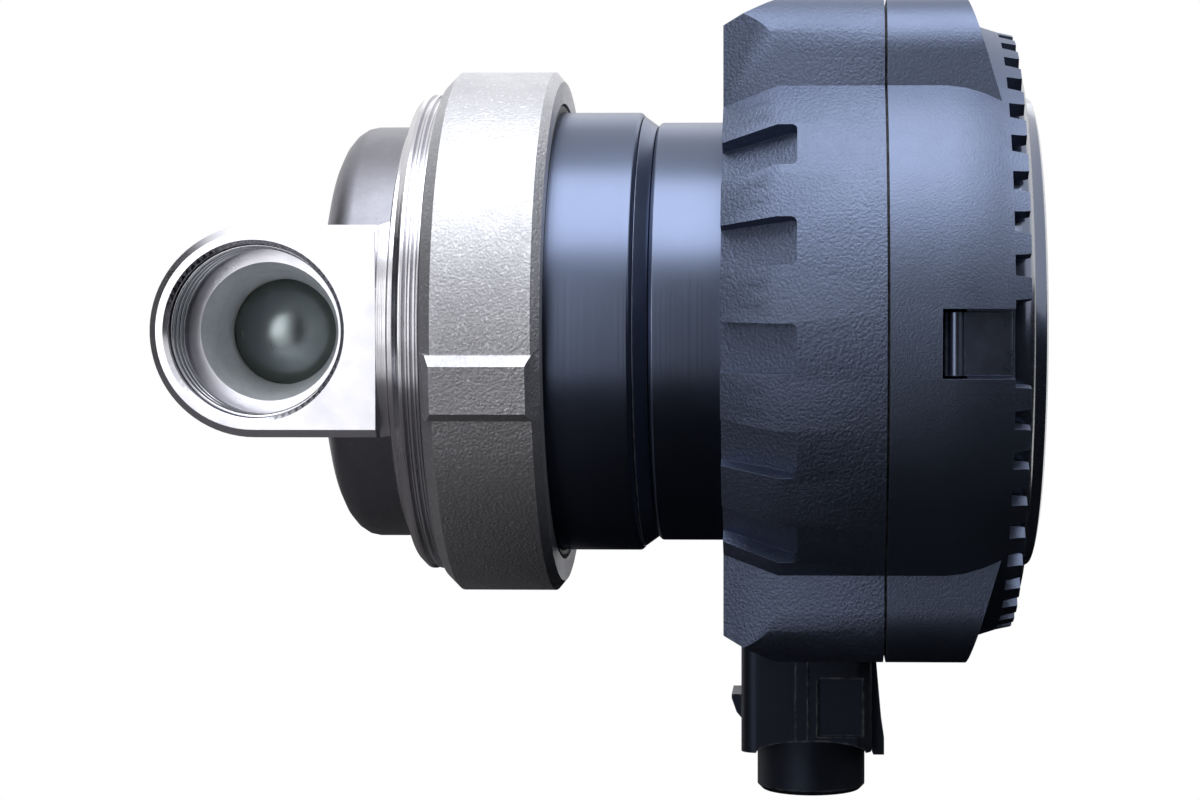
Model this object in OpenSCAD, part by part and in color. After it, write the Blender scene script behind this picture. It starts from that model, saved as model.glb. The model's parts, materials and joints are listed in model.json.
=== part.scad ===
// Motorised in-line ball valve: a cast valve body with two threaded ports, and
// a screwed-on actuator head with a two-stage planetary gear train and motor.
//
// Frame: the origin is the centre of the front port's mouth. +X runs along the
// actuator's main axis towards its rear cover, the pipe runs along Y, +Z is up.
// Every x value below is measured from the pipe's axis.

/* [Valve body] */
// Face to face length of the two ports
port_span = 52; // [46:1:70]
// Half height of the port boss, and the radius of its round end
boss_r = 12.8; // [12.2:0.1:14]
// Where the milled face of the port boss ends
boss_end_x = 14.8; // [13:0.1:16]
// Chamfer around both port faces
boss_chamfer = 0.9; // [0.4:0.1:1.5]
// Where the cup's front face starts
cup_front_x = 6.2; // [4:0.1:7]
// Outer radius of the cup
cup_r = 26.5; // [24:0.5:28]
// Height of the rounded corner at the cup's front
cup_corner_r = 6.5; // [3:0.5:8]
// Length of that corner along the main axis
cup_corner_l = 4.2; // [3:0.1:5]
// Where the ring flange starts
flange_x = 17.7; // [17.2:0.1:19]
// Thickness of the ring flange
flange_t = 2.9; // [2:0.1:4]
// How far the ring flange stands above the spigot's thread
flange_lap = 0.5; // [0.3:0.1:2.5]
// Depth of the turned grooves in the ring flange
flange_groove = 0.5; // [0.2:0.1:0.8]
// Length of the spigot behind the flange
spigot_l = 8.4; // [7:0.1:11]

/* [Ports] */
// Radius of the port thread, for a half inch pipe thread
port_r = 10.5; // [9:0.05:11]
// Depth of the port thread
port_depth = 9.1; // [8:0.1:12]
// Chamfer at each port's mouth
port_chamfer = 0.5; // [0.2:0.05:0.6]
// Radius where the port's cone starts
cone_r = 8.6; // [7.5:0.1:9]
// Radius of the waterway
way_r = 6.7; // [5:0.1:7]

/* [Ball and stem] */
// Radius of the ball
ball_r = 9.6; // [9.3:0.1:9.8]
// Where the ball's top is cut flat
ball_flat_x = 9; // [8.8:0.1:9.1]
// Depth of the drive slot in the ball
ball_slot_depth = 1.4; // [1:0.1:1.6]
// Width of the drive slot in the ball
ball_slot_w = 3.2; // [2.5:0.1:4]
// Half width of the ball's chamber along the pipe
chamber_y = 8.1; // [8:0.1:8.4]
// Radius of the ball's chamber
chamber_r = 10.2; // [10:0.1:10.5]
// Depth of each seat pocket in the chamber's wall
seat_pocket = 0.5; // [0.3:0.1:0.7]
// Outer radius of the seat rings
seat_r = 8.4; // [8:0.1:8.6]
// Length of the seat rings
seat_l = 3.9; // [3:0.1:3.9]
// Radius of the stem
stem_r = 4.5; // [4:0.1:5]
// Radius of the stem's shoulder
stem_shoulder_r = 7.5; // [6.5:0.1:8]
// Thickness of the stem's shoulder
stem_shoulder_t = 2; // [1.5:0.1:2.2]
// Thickness of the stem's thrust washer
stem_washer_t = 0.4; // [0.3:0.05:0.5]
// Depth of each seal groove in the stem
stem_groove = 1.1; // [0.8:0.1:1.3]
// Width of each seal groove in the stem
stem_groove_w = 1.6; // [1.4:0.1:2]
// Half distance between the drive flats of the stem
stem_flat = 3.2; // [2.8:0.1:3.6]
// Length of the stem's drive end inside the output shaft
stem_drive_l = 4.2; // [3:0.1:4.6]
// Radius of the gland's thread
gland_r = 12; // [11.5:0.1:13]
// Radius of the gland's flange
gland_flange_r = 15; // [14:0.5:18]
// Thickness of the gland's flange
gland_flange_t = 3; // [2.5:0.1:3.5]
// Where the gland's flange seats
gland_seat_x = 17; // [16.5:0.1:17.5]
// Radius of the open pocket around the gland
gland_pocket_r = 20; // [18.5:0.5:21]
// Depth of the gland's seal groove
gland_groove = 1.4; // [1.2:0.1:1.6]
// Width of the gland's seal groove
gland_groove_w = 1.6; // [1.5:0.1:2]
// Radius of the spanner holes in the gland
gland_hole_r = 1.25; // [0.8:0.05:1.5]

/* [Union nut] */
// Wall of the union nut around its thread
nut_wall = 3.3; // [2.8:0.1:6]
// Length of the union nut
nut_l = 14.3; // [13.8:0.1:16]
// Chamfer at the nut's front
nut_chamfer = 1.5; // [0.5:0.1:2]
// Length of the bevel at the nut's rear
nut_bevel_l = 1; // [0.6:0.1:1.4]
// Height of that bevel
nut_bevel_h = 1.2; // [0.8:0.1:2]
// Thickness of the nut's inner lip
nut_lip_t = 1; // [0.8:0.1:1.5]
// Number of spanner lugs
nut_lugs = 3; // [2:1:6]
// Width of a spanner lug at its foot
nut_lug_w = 7.9; // [6:0.1:10]
// Height of a spanner lug
nut_lug_h = 1.2; // [0.6:0.1:1.6]
// Angle of the first spanner lug below the front
nut_lug_angle = 11.6; // [0:0.1:45]

/* [Neck] */
// Wall of the neck behind its groove
neck_tube_t = 3; // [2.5:0.1:4]
// How much thicker the neck is in front of its groove
neck_step = 1.3; // [0.5:0.1:2]
// Where the neck's groove starts
neck_groove_x = 45.6; // [40:0.1:48]
// Width of the neck's groove
neck_groove_w = 1.9; // [1:0.1:4]
// Depth of the neck's groove
neck_groove_depth = 2.3; // [1.8:0.1:2.6]
// Wall of the nose that plugs into the spigot
nose_wall = 1.8; // [1.6:0.1:2.2]
// Length of the nose
nose_l = 4; // [3.5:0.1:4.5]
// Thickness of the collar that the nut pulls on
collar_t = 3; // [2:0.1:3.5]
// Height of that collar above the neck
collar_h = 1.8; // [1.4:0.1:2.5]
// Thickness of the neck's front wall
neck_wall = 3; // [2.5:0.1:3.5]
// Thickness of the flat gasket between spigot and collar
face_gasket_t = 0.6; // [0.4:0.1:1]
// Width of the mounting flange inside the head, around the neck
chassis_w = 6; // [5.6:0.1:7.5]
// Thickness of the mounting flange
chassis_t = 2.5; // [2:0.1:3]
// Thickness of the dust ring behind the nut
dust_ring_t = 1.1; // [0.9:0.1:1.2]
// Thickness of the O-ring on the nose
nose_seal_t = 1.6; // [1.2:0.1:2]

/* [Gear train] */
// Gear module
gear_m = 1; // [1:0.01:1.01]
// Teeth of each sun gear
sun_teeth = 12; // [12:3:12]
// Teeth of each planet gear
planet_teeth = 15; // [15:3:15]
// Planet gears in each stage
planets = 3; // [3:1:3]
// Pressure angle of the teeth
pressure_angle = 25; // [24:0.5:26]
// Wall of the ring gear behind its teeth
ring_wall = 1.85; // [1.5:0.05:2.2]
// Thickness taken off each tooth flank
flank_gap = 0.07; // [0.06:0.01:0.12]
// Face width of the planet gears
planet_w = 5; // [4:0.1:5.2]
// Radius of the planet pins
planet_pin_r = 1.5; // [1:0.05:2]
// Radius of the carrier plates
carrier_r = 17.8; // [16:0.1:18.5]
// Thickness of the carrier plates
carrier_t = 2.3; // [1.8:0.1:2.6]
// Radius of the pilot pin that centres the inner carrier
pilot_r = 2; // [1.5:0.1:2.4]
// Radius of the output shaft
output_r = 7; // [6.5:0.1:8]
// Wall of the output bush
bush_wall = 1.5; // [1:0.1:2]
// Thickness of the output bush's flange
bush_flange_t = 1; // [0.6:0.1:1.1]

/* [Motor] */
// Radius of the motor can
can_r = 17.5; // [17:0.5:20]
// Wall of the motor can
can_wall = 1.2; // [0.8:0.1:2]
// Length of the motor can
can_l = 25; // [24:0.5:26]
// Thickness of the motor's end cap
cap_t = 2.5; // [2:0.1:3]
// Radius of the motor shaft
shaft_r = 2; // [1.5:0.1:2.4]
// Outer radius of the motor's bushes
motor_bush_r = 3.5; // [3:0.1:4.5]
// Inner radius of the stator's teeth
stator_bore_r = 9; // [8.5:0.1:9.5]
// Radial thickness of the stator's back iron
back_iron = 2.3; // [1.8:0.1:3]
// Number of stator teeth and coils
coils = 6; // [6:3:6]
// Width of a stator tooth
tooth_w = 4; // [3:0.1:4.4]
// Thickness of a stator tooth's tip
tooth_tip_t = 1.3; // [1:0.1:1.6]
// Width of the slot between two tips
slot_w = 2.4; // [1.5:0.1:3]
// Width of a coil around its tooth
coil_w = 7.4; // [6:0.1:8]
// How far a coil stands out of the stack at each end
coil_over = 2; // [1:0.1:3]
// Length of the stator stack
stack_l = 14; // [10:0.5:15]
// Gap between rotor and stator
air_gap = 0.6; // [0.3:0.1:1]
// Thickness of the plate that closes the gear train
cover_plate_t = 2.5; // [2:0.1:3]

/* [Head] */
// Where the head's front face lies
head_x = 56.5; // [54:0.5:58]
// Radius of the head's barrel
barrel_r = 40; // [39:0.5:42]
// Radius of the front face at the barrel
front_r = 36.4; // [36:0.1:38]
// Length of the front cone
cone_l = 6.6; // [5:0.1:9]
// Half width of the top and bottom lobes
lobe_half_w = 27.5; // [26:0.5:28.5]
// How far the lobes rise above the barrel
lobe_rise = 0.2; // [0.2:0.1:3]
// Corner radius of the lobes
lobe_corner_r = 7; // [5:0.5:8]
// How far the lobes' slanted rear end comes down at the rim
lobe_slope_h = 15.7; // [12:0.1:17]
// Length of the rear shell from the parting line to its rim
rear_shell_l = 14.5; // [11:0.1:15]
// Thickness of the seal between the shells
shell_seal_t = 0.3; // [0.2:0.1:1]
// How far the seal lies inside the outline
shell_seal_inset = 0.8; // [0.4:0.1:1.2]
// Wall of the shells
shell_wall = 2.6; // [2:0.1:3]
// Thickness of the front shell's front wall
front_wall = 4; // [3:0.1:4.5]
// Length of the rounding from the barrel to the rim
rim_run = 7.4; // [5:0.1:9]
// How far before the rim the lobes' slanted rear end starts
lobe_rim_gap = 4.7; // [3.5:0.1:6]
// How far the rear shell's rim reaches over the rear cover's barrel
rim_lap = 4.1; // [3.5:0.1:5]
// How far the rear shell's rim lies inside the barrel
rim_step = 1.6; // [1:0.1:2]
// Wall of the rim around the rear cover
rim_wall = 2.4; // [2:0.1:3]
// Radius of the shell screws
shell_screw_r = 1.5; // [1:0.1:1.7]
// Radius of the shell screws' heads
shell_screw_head_r = 2.4; // [2:0.1:2.8]

/* [Front notches] */
// Angle between the front notches
notch_pitch = 18; // [12:1:24]
// Angle of the middle notch below the front
notch_phase = 3; // [-9:0.5:9]
// Width of a notch
notch_w = 5.8; // [3:0.1:7]
// Length of a notch
notch_l = 8.9; // [6:0.1:12]
// Depth of a notch
notch_depth = 1.5; // [0.5:0.1:2]
// Corner radius at a notch's end
notch_corner_r = 0.7; // [0.5:0.1:2]

/* [Castellated rim] */
// Length of the rim's teeth
rim_tooth_l = 1.9; // [1:0.1:4]
// Teeth on each side between the windows
rim_teeth = 22; // [10:1:26]
// Angle from a window's middle to the first tooth
rim_first_angle = 9.6; // [8:0.1:14]
// Share of the pitch that a tooth fills
rim_tooth_share = 0.56; // [0.4:0.02:0.8]
// Thickness of the rim's teeth
rim_tooth_t = 2.1; // [1:0.1:2.3]

/* [Latch windows] */
// Length of the side windows up to the rim
window_l = 8.4; // [7:0.1:10]
// Height of a latch window
window_h = 8; // [5:0.1:10]
// How far below the axis a window's middle lies
window_drop = 1.5; // [-3:0.1:3]
// Wall left between a window's floor and the rear cover
window_floor_t = 1; // [0.6:0.1:1.4]
// Thickness of the latch in its window
latch_t = 0.8; // [0.5:0.1:1.2]
// Height of the latch's finger bead
latch_bead = 0.9; // [0.5:0.1:1.2]
// Length of the tongue that locks the cover
latch_tongue_w = 1.2; // [0.8:0.1:1.6]

/* [Rear cover] */
// Wall of the rear cover's barrel
cover_wall = 2.2; // [1.8:0.1:3]
// Gap between the rear shell's inner step and the rear cover's barrel
cover_gap = 1.4; // [1.2:0.1:2]
// How far the rear cover's shoulder stands out of the rim
cover_rise = 2.6; // [2.2:0.1:4.5]
// Width of the ledge around the raised disc on the rear cover
cover_ledge_w = 5.5; // [3:0.5:11]
// Height of the raised disc
cover_disc_h = 2; // [1:0.1:3]
// Thickness of the rear cover's plate
cover_plate = 2.2; // [1.5:0.1:2.6]

/* [Board] */
// Gap between the motor's end cap and the circuit board
board_gap = 7; // [6:0.1:8]
// Thickness of the circuit board
board_t = 1.6; // [1:0.1:1.8]
// Distance from a post's middle to the circuit board's edge
board_edge = 5; // [4:0.5:6]
// Radius of the posts that carry the board
post_r = 3.2; // [2.6:0.1:4]
// Distance from a post's middle to the mounting flange's edge
post_inset = 5; // [4:0.5:6]
// Radius of the small screws
small_screw_r = 1.25; // [0.8:0.05:1.5]
// Radius of the small screws' heads
small_head_r = 2.4; // [1.8:0.1:2.6]
// Height of the small screws' heads
small_head_t = 1.4; // [1:0.1:1.5]

/* [Connector] */
// Where the connector's axis lies
plug_x = 67; // [66.6:0.1:67.6]
// Width of the connector's sleeve along the main axis
sleeve_w = 16.6; // [15:0.1:17]
// Depth of the connector's sleeve along the pipe
sleeve_d = 15; // [14:0.1:18]
// Corner radius of the sleeve
sleeve_corner_r = 2; // [1:0.1:3]
// Length of the connector's sleeve below the head
sleeve_l = 13.4; // [12:0.1:17]
// Radius of the connector's round nose
nose_pin_r = 6.95; // [6.8:0.05:7.3]
// Length of the round nose below the sleeve
nose_pin_l = 5.6; // [4:0.1:8]
// Wall of the round nose
nose_pin_wall = 1.4; // [1:0.1:1.6]
// Depth of the socket inside the nose
socket_depth = 12; // [10:0.1:14]
// Contact pins along the main axis and along the pipe
contact_pitch = 4; // [3:0.1:4.6]
// Thickness of a contact pin
contact_t = 0.6; // [0.5:0.05:0.65]

/* [Clearances] */
// Radial clearance of everything that turns
run_gap = 0.05; // [0.03:0.01:0.08]
// End clearance of everything that turns
end_gap = 0.3; // [0.2:0.05:0.35]
// Clearance of a fixed piece in its hole
fit_gap = 0.05; // [0.02:0.01:0.1]

/* [Hidden] */
$fn = 64;
eps = 0.01;
cut = 1;
pipe_y = port_span / 2;

// The neck, the spigot and the union nut are built outwards from the ring gear
ring_teeth = sun_teeth + 2 * planet_teeth;
tooth_top_share = 0.9;
tooth_foot_share = 1.15;
ring_top_share = 0.85;
neck_bore_r = gear_m * (ring_teeth / 2 + tooth_foot_share) + ring_wall;
neck_rear_r = neck_bore_r + neck_tube_t;
neck_r = neck_rear_r + neck_step;
neck_groove_r = neck_r - neck_groove_depth;
nose_r = neck_bore_r + nose_wall;
collar_r = neck_r + collar_h;
thread_r = collar_r + 2 * fit_gap;
flange_r = thread_r + flange_lap;
nut_r = thread_r + nut_wall;
nut_bevel_r = nut_r - nut_bevel_h;

// Lengths along the main axis, each from the one before it
flange_end_x = flange_x + flange_t;
spigot_end_x = flange_end_x + spigot_l;
collar_x = spigot_end_x + face_gasket_t;
nose_x = collar_x - nose_l;
nose_pocket_x = nose_x - end_gap;
nose_pocket_r = nose_r + fit_gap * 4;
collar_end_x = collar_x + collar_t;
nut_x = flange_end_x + end_gap;
nut_end_x = nut_x + nut_l;
nut_lip_x = collar_end_x + fit_gap;
nut_lip_end_x = nut_lip_x + nut_lip_t;
nut_bore_r = thread_r + run_gap;
nut_lip_r = neck_r + end_gap;
dust_ring_r = neck_r + dust_ring_t;
dust_ring_x = nut_lip_end_x + end_gap;
dust_ring_end_x = nut_end_x - fit_gap;
neck_floor_x = nose_x + neck_wall;
neck_rear_x = neck_groove_x + neck_groove_w;
neck_edge = 0.4;
neck_ring_sink = 0.5;
nose_edge = 0.5;
nose_groove_x = nose_x + 1.2;
cup_dish = 1;
cup_band_h = 0.7;
cup_band_x = flange_x - 1.4;
cup_band_end_x = flange_x - 0.6;
band_edge = 0.2;
flange_edge = 0.9;
relief_depth = 1;
relief_w = 0.9;
relief_slope = 0.7;
thread_edge = 0.6;
lug_slope = 1.1;
lug_edge = 0.2;
lug_sink = nut_chamfer + lug_edge;
chassis_r = neck_rear_r + chassis_w;
chassis_x = head_x + front_wall;
chassis_end_x = chassis_x + chassis_t;

// Ball, seats, stem and gland
seat_back_y = chamber_y + seat_pocket;
seat_inner_y = sqrt((ball_r + run_gap) ^ 2 - seat_r ^ 2);
ball_slot_x = ball_flat_x - ball_slot_depth;
stem_shoulder_x = ball_flat_x + 2 * fit_gap;
stem_edge = 0.4;
blade_reach = seat_inner_y - end_gap;
stem_washer_x = stem_shoulder_x + stem_shoulder_t + fit_gap;
gland_x = stem_washer_x + stem_washer_t;
gland_end_x = gland_seat_x + gland_flange_t;
gland_land = 0.4;
gland_groove_x = gland_seat_x - gland_groove_w - gland_land;
gland_room = 1.8;
gland_bore_start_x = gland_x - gland_room;
gland_edge = 0.5;
gland_hole_depth = 2;
stem_groove_x = [gland_x + stem_groove_w, gland_x + 3 * stem_groove_w];
output_lead = 0.2;
output_x = nose_pocket_x - output_lead;
stem_end_x = output_x + stem_drive_l;

// Gear train
pitch_angle = 360 / planets;
sun_pitch_r = gear_m * sun_teeth / 2;
carrier_pin_r = gear_m * (sun_teeth + planet_teeth) / 2;
bush_r = output_r + run_gap + bush_wall;
bush_flange_w = 2;
bush_flange_r = bush_r + bush_flange_w;
output_plate_x = neck_floor_x + bush_flange_t + end_gap;
output_plate_end_x = output_plate_x + carrier_t;
output_planet_x = output_plate_end_x + end_gap;
input_sun_x = output_planet_x;
input_plate_x = output_planet_x + planet_w + end_gap * 2;
input_plate_end_x = input_plate_x + carrier_t;
input_planet_x = input_plate_end_x + end_gap;
planet_pin_l = planet_w + end_gap * 2;
ring_gear_x = output_plate_x + carrier_t / 2;
ring_gear_end_x = input_planet_x + planet_w + end_gap;
cover_plate_end_x = ring_gear_end_x + cover_plate_t;
pilot_short = 0.2;
pilot_l = planet_w - pilot_short;
hub_t = 0.4;

// Motor
can_x = cover_plate_end_x;
can_end_x = can_x + can_l;
cap_end_x = can_end_x + cap_t;
stack_x = can_x + (can_l - stack_l) / 2;
stack_end_x = stack_x + stack_l;
stator_r = can_r - can_wall;
rotor_r = stator_bore_r - air_gap;
pinion_x = input_plate_end_x + end_gap * 2;
pinion_l = planet_w;
board_x = cap_end_x + board_gap;
board_back_x = board_x + board_t;
hall_t = 1.1;
encoder_gap = 0.6;
encoder_r = 4;
encoder_t = 2.5;
encoder_end_x = board_x - hall_t - encoder_gap;
encoder_x = encoder_end_x - encoder_t;
can_floor_t = 2;
bush_over = 0.6;
bush_inside = 0.4;
plate_bore_gap = 1.5;
rotor_over = 0.5;
sunk_head_t = small_head_t * 0.8;
motor_screw_circle_r = 11.5;
motor_screw_l = 5.5;
coil_r = stator_bore_r + tooth_tip_t + end_gap;
coil_end_r = sqrt((stator_r - back_iron) ^ 2 - (coil_w / 2) ^ 2) - fit_gap;
terminal_r = 0.45;
terminal_circle_r = (coil_r + coil_end_r) / 2;

// Head: places along the main axis follow from the board's, radii from the barrel's
rear_inner_end_x = board_back_x + end_gap;
cover_x = rear_inner_end_x + cover_gap;
rim_x = cover_x + rim_lap;
cover_shoulder_x = rim_x + cover_rise;
window_x = rim_x - window_l;
lobe_end_x = rim_x - lobe_rim_gap;
barrel_end_x = rim_x - rim_run;
parting_x = rim_x - rear_shell_l;
rim_r = barrel_r - rim_step;
cover_r = rim_r - rim_wall;
cover_disc_r = cover_r - cover_ledge_w;
window_floor_y = cover_r + window_floor_t;
lobe_half_h = barrel_r + lobe_rise;
cone_drop = barrel_r - front_r;
lobe_side_share = 0.8;
rim_edge = 0.4;
rim_taper = 0.15;
notch_lead = 0.6;
notch_reach = floor(acos(lobe_half_w / barrel_r) / notch_pitch * 0.92);
seal_x = parting_x - shell_seal_t / 2;
seal_end_x = parting_x + shell_seal_t / 2;
notch_wall_x = head_x + notch_l + shell_wall;
lobe_inner_h = lobe_half_h - shell_wall;
screw_skin = 1.4;
screw_shift = (lobe_corner_r - shell_screw_head_r - 2 * fit_gap - screw_skin) / sqrt(2);
boss_y = lobe_half_w - lobe_corner_r + screw_shift;
boss_z = lobe_half_h - lobe_corner_r + screw_shift;
shell_boss_r = 4.5;
shell_screw_start = 10;
shell_screw_x = head_x + shell_screw_start;
shell_screw_sink = 7.4;
shell_screw_head_x = rim_x - shell_screw_sink;
shell_screw_head_t = 2;
rim_end_x = rim_x + rim_tooth_l;
cover_end_x = cover_shoulder_x + cover_disc_h;
cover_edge = 0.6;
cover_round = 1.6;
cover_groove_x = cover_x + cover_edge;
cover_groove_w = 1.2;
cover_groove_depth = 1;
latch_gap = end_gap;
latch_x = window_x + latch_gap;
latch_end_x = rim_x - latch_gap;
latch_w = window_h - 2 * latch_gap;
latch_tongue_set = 0.2;
latch_tongue_bite = 1;
latch_tongue_x = latch_end_x - latch_tongue_w - latch_tongue_set;
latch_tongue_y = cover_r - latch_tongue_bite;
bead_x = latch_x + 1.3;
window_turn = asin(window_drop / rim_r);
flange_screw_angles = [20, 160, 250, 290];
flange_screw_circle_r = (neck_rear_r + chassis_r) / 2;
flange_screw_bite = 2.6;

// Board
post_angles = [90, 210, 330];
post_circle_r = chassis_r - post_inset;
board_r = post_circle_r + board_edge;
board_screw_bite = 6;
pin_stick_out = 0.8;
hall_w = 4;
// Each chip's corner in Y and Z, its width along Y, its height along Z, its thickness
chips = [[-17, -9, 9, 9, 1.2], [8, -8, 6, 8, 1.4], [16, 3, 5, 7, 2.2]];
capacitor_r = 3.1;
capacitor_h = 5;
capacitor_edge = 0.4;
capacitor_z = 20;
capacitor_pitch = 9;

// Connector
sleeve_shift = 0.6;
sleeve_x = plug_x - sleeve_shift;
sleeve_bottom = lobe_half_h + sleeve_l;
sleeve_arch_h = 1.5;
plug_flange_t = 2;
plug_flange_lap = 3;
plug_flange_x = chassis_x + end_gap;
plug_seal_t = 0.9;
nose_bottom = sleeve_bottom + nose_pin_l;
nose_pin_root = 3;
nose_shoulder = 0.4;
nose_pin_edge = 0.6;
rib_drop = 9.5;
rib_level = lobe_half_h + rib_drop;
rib_w = 8;
rib_t = 1.3;
rib_h = 3.1;
lever_w = 7;
lever_t = 1.7;
lever_pad_h = 2.2;
lever_neck_t = 1.3;
lever_neck_h = 5;
lever_root_t = 0.6;
lever_over = 0.8;
nose_shoulder_l = nose_pin_root + lever_over + end_gap;
lever_edge = 0.3;
lever_h = sleeve_l + lever_over - plug_seal_t - end_gap;
panel_drop = 11.3;
panel_level = lobe_half_h + panel_drop;
panel_x = sleeve_x + 1.4;
panel_w = 5.8;
panel_h = 7.4;
panel_depth = 0.7;
ridge_x = sleeve_x - 1.4;
ridge_w = 1.6;
ridge_h = 0.4;
contact_rows = [-contact_pitch / 2, contact_pitch / 2];
contact_tip = nose_bottom - 5;
contact_hole_r = contact_t * 0.85;
contact_level = 29;
contact_step = 2.4;

// ------------------------------------------------------------------ helpers

// Puts a shape drawn about the valve's centre into the part's frame
module at_valve() {
  translate([0, pipe_y, 0]) children();
}

// Turns an outline of [radius, x] points about the main axis
module turned(points) {
  rotate([0, 90, 0]) rotate_extrude($fn = 128) polygon(points);
}

// A round bar, or a tube, along the main axis
module bar(r, x1, x2, bore = 0) {
  turned([[bore, x1], [r, x1], [r, x2], [bore, x2]]);
}

// Places its children at an angle about the main axis, measured from -Y upwards,
// at a distance from the axis, with local z outwards and local x along the axis
module around(angle, r = 0, x = 0) {
  rotate([-angle, 0, 0]) translate([x, -r, 0]) rotate([90, 0, 0]) children();
}

// Copies its children to each angle about the main axis, from +Y upwards
module spread(angles, r) {
  for (a = angles) translate([0, r * cos(a), r * sin(a)]) children();
}

// An O-ring about the main axis
module o_ring(r, x, thick) {
  rotate([0, 90, 0]) translate([0, 0, x]) rotate_extrude($fn = 96)
    translate([r, 0]) circle(d = thick, $fn = 32);
}

// The involute function at radius r of a gear with base radius rb, in degrees
function involute(rb, r) = r <= rb ? 0 : sqrt((r / rb) ^ 2 - 1) * 180 / PI - acos(rb / r);

// Half the angle that a tooth spans at radius r
function half_tooth(z, r, thin) =
  let (rp = gear_m * z / 2, rb = rp * cos(pressure_angle))
  90 / z - thin / rp * 180 / PI + involute(rb, rp) - involute(rb, r);

// Outline of a gear with z teeth, with a tooth at angle 0
function gear_points(z, top, foot, thin, turn = 0) =
  let (
    rp = gear_m * z / 2,
    rb = rp * cos(pressure_angle),
    root = rp - foot * gear_m,
    tip = rp + top * gear_m,
    rise = [root, max(rb, root + eps), rp, (rp + tip) / 2, tip],
    fall = [for (i = [len(rise) - 1:-1:0]) rise[i]]
  )
  [for (i = [0:z - 1]) let (mid = 360 * i / z + turn)
    each concat(
      [for (r = rise) let (a = mid - half_tooth(z, r, thin)) [r * cos(a), r * sin(a)]],
      [for (r = fall) let (a = mid + half_tooth(z, r, thin)) [r * cos(a), r * sin(a)]]
    )];

// A spur gear along the main axis, with its first tooth towards +Y
module gear(z, x, w, bore, turn = 0) {
  difference() {
    translate([x, 0, 0]) rotate([90, 0, 90]) linear_extrude(w)
      polygon(gear_points(z, tooth_top_share, tooth_foot_share, flank_gap, turn));
    bar(bore, x - 1, x + w + 1);
  }
}

// The outline of the head across the main axis, inset from the outer skin
module head_outline(inset) {
  circle(barrel_r - inset, $fn = 128);
  lobe_outline(inset);
}

// The rounded rectangle of the two lobes, in [Y, Z]
module lobe_outline(inset) {
  r = max(lobe_corner_r - inset, 0.5);
  w = lobe_half_w - inset - r;
  h = lobe_half_h - inset - r;
  for (sy = [-1, 1], sz = [-1, 1]) translate([sy * w, sz * h]) circle(r, $fn = 48);
  square([2 * w, 2 * (h + r)], center = true);
  square([2 * (w + r), 2 * h], center = true);
}

// Extrudes an outline in [Y, Z] along the main axis
module along(x1, x2) {
  translate([x1, 0, 0]) rotate([90, 0, 90]) linear_extrude(x2 - x1) children();
}

// The solid outer form of both shells together
module head_form() {
  turned([
    [0, head_x], [front_r, head_x], [barrel_r, head_x + cone_l], [barrel_r, barrel_end_x],
    [barrel_r - rim_step * 0.12, barrel_end_x + rim_run * 0.3],
    [barrel_r - rim_step * 0.44, barrel_end_x + rim_run * 0.62], [rim_r, rim_x], [0, rim_x]
  ]);
  intersection() {
    along(head_x, rim_x) lobe_outline(0);
    rotate([90, 0, 0]) linear_extrude(barrel_r * 3, center = true) lobe_side(lobe_half_h, 1, lobe_slope_h);
    linear_extrude(barrel_r * 3, center = true) lobe_side(lobe_half_w, lobe_side_share, 0);
  }
}

// Side or top view of the lobes, in [X, Z] or [X, Y]: the front follows the cone, the rear
// comes down by a slope
module lobe_side(half, share, slope) {
  front = half - cone_drop * share;
  polygon([
    [head_x, -front], [head_x + cone_l, -half], [lobe_end_x, -half], [rim_x, -half + slope],
    [rim_x, half - slope], [lobe_end_x, half], [head_x + cone_l, half], [head_x, front]
  ]);
}

// The hollow inside the shells between two places along the axis
module head_hollow(x1, x2, r = barrel_r - shell_wall) {
  difference() {
    along(x1, x2) union() {
      circle(r, $fn = 128);
      lobe_outline(shell_wall);
    }
    for (sy = [-1, 1], sz = [-1, 1]) translate([0, sy * boss_y, sz * boss_z])
      bar(shell_boss_r, x1 - 1, x2 + 1);
  }
}

// Holes for the four shell screws
module shell_screw_holes(r, x1, x2) {
  for (sy = [-1, 1], sz = [-1, 1]) translate([0, sy * boss_y, sz * boss_z]) bar(r, x1, x2);
}

// A screw along the main axis with a socket in its head; its head points to +x
module screw(r, x1, x2, head_r, head_t) {
  difference() {
    union() {
      bar(r, x1, x2);
      bar(head_r, x2, x2 + head_t);
    }
    translate([x2 + head_t / 2, 0, 0]) rotate([0, 90, 0])
      cylinder(r = r * 0.8, h = head_t, $fn = 6);
  }
}

// ------------------------------------------------------------------- valve

// One port's hollow, from its mouth inwards, along +y of the front port
module port_hollow() {
  rotate([-90, 0, 0]) translate([0, 0, -pipe_y]) rotate_extrude($fn = 128)
    polygon([
      [0, -cut], [port_r + port_chamfer, -cut], [port_r + port_chamfer, 0],
      [port_r, port_chamfer], [port_r, port_depth],
      [cone_r, port_depth], [way_r, pipe_y - seat_back_y], [way_r, pipe_y], [0, pipe_y]
    ]);
}

module boss_form() {
  c = boss_chamfer;
  rotate([-90, 0, 0]) translate([0, 0, -pipe_y]) rotate_extrude($fn = 128)
    polygon([
      [0, 0], [boss_r - c, 0], [boss_r, c], [boss_r, port_span - c],
      [boss_r - c, port_span], [0, port_span]
    ]);
  translate([0, -pipe_y, -boss_r]) rotate([90, 0, 90]) linear_extrude(boss_end_x)
    polygon([
      [c, 0], [port_span - c, 0], [port_span, c], [port_span, 2 * boss_r - c],
      [port_span - c, 2 * boss_r], [c, 2 * boss_r], [0, 2 * boss_r - c], [0, c]
    ]);
}

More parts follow.
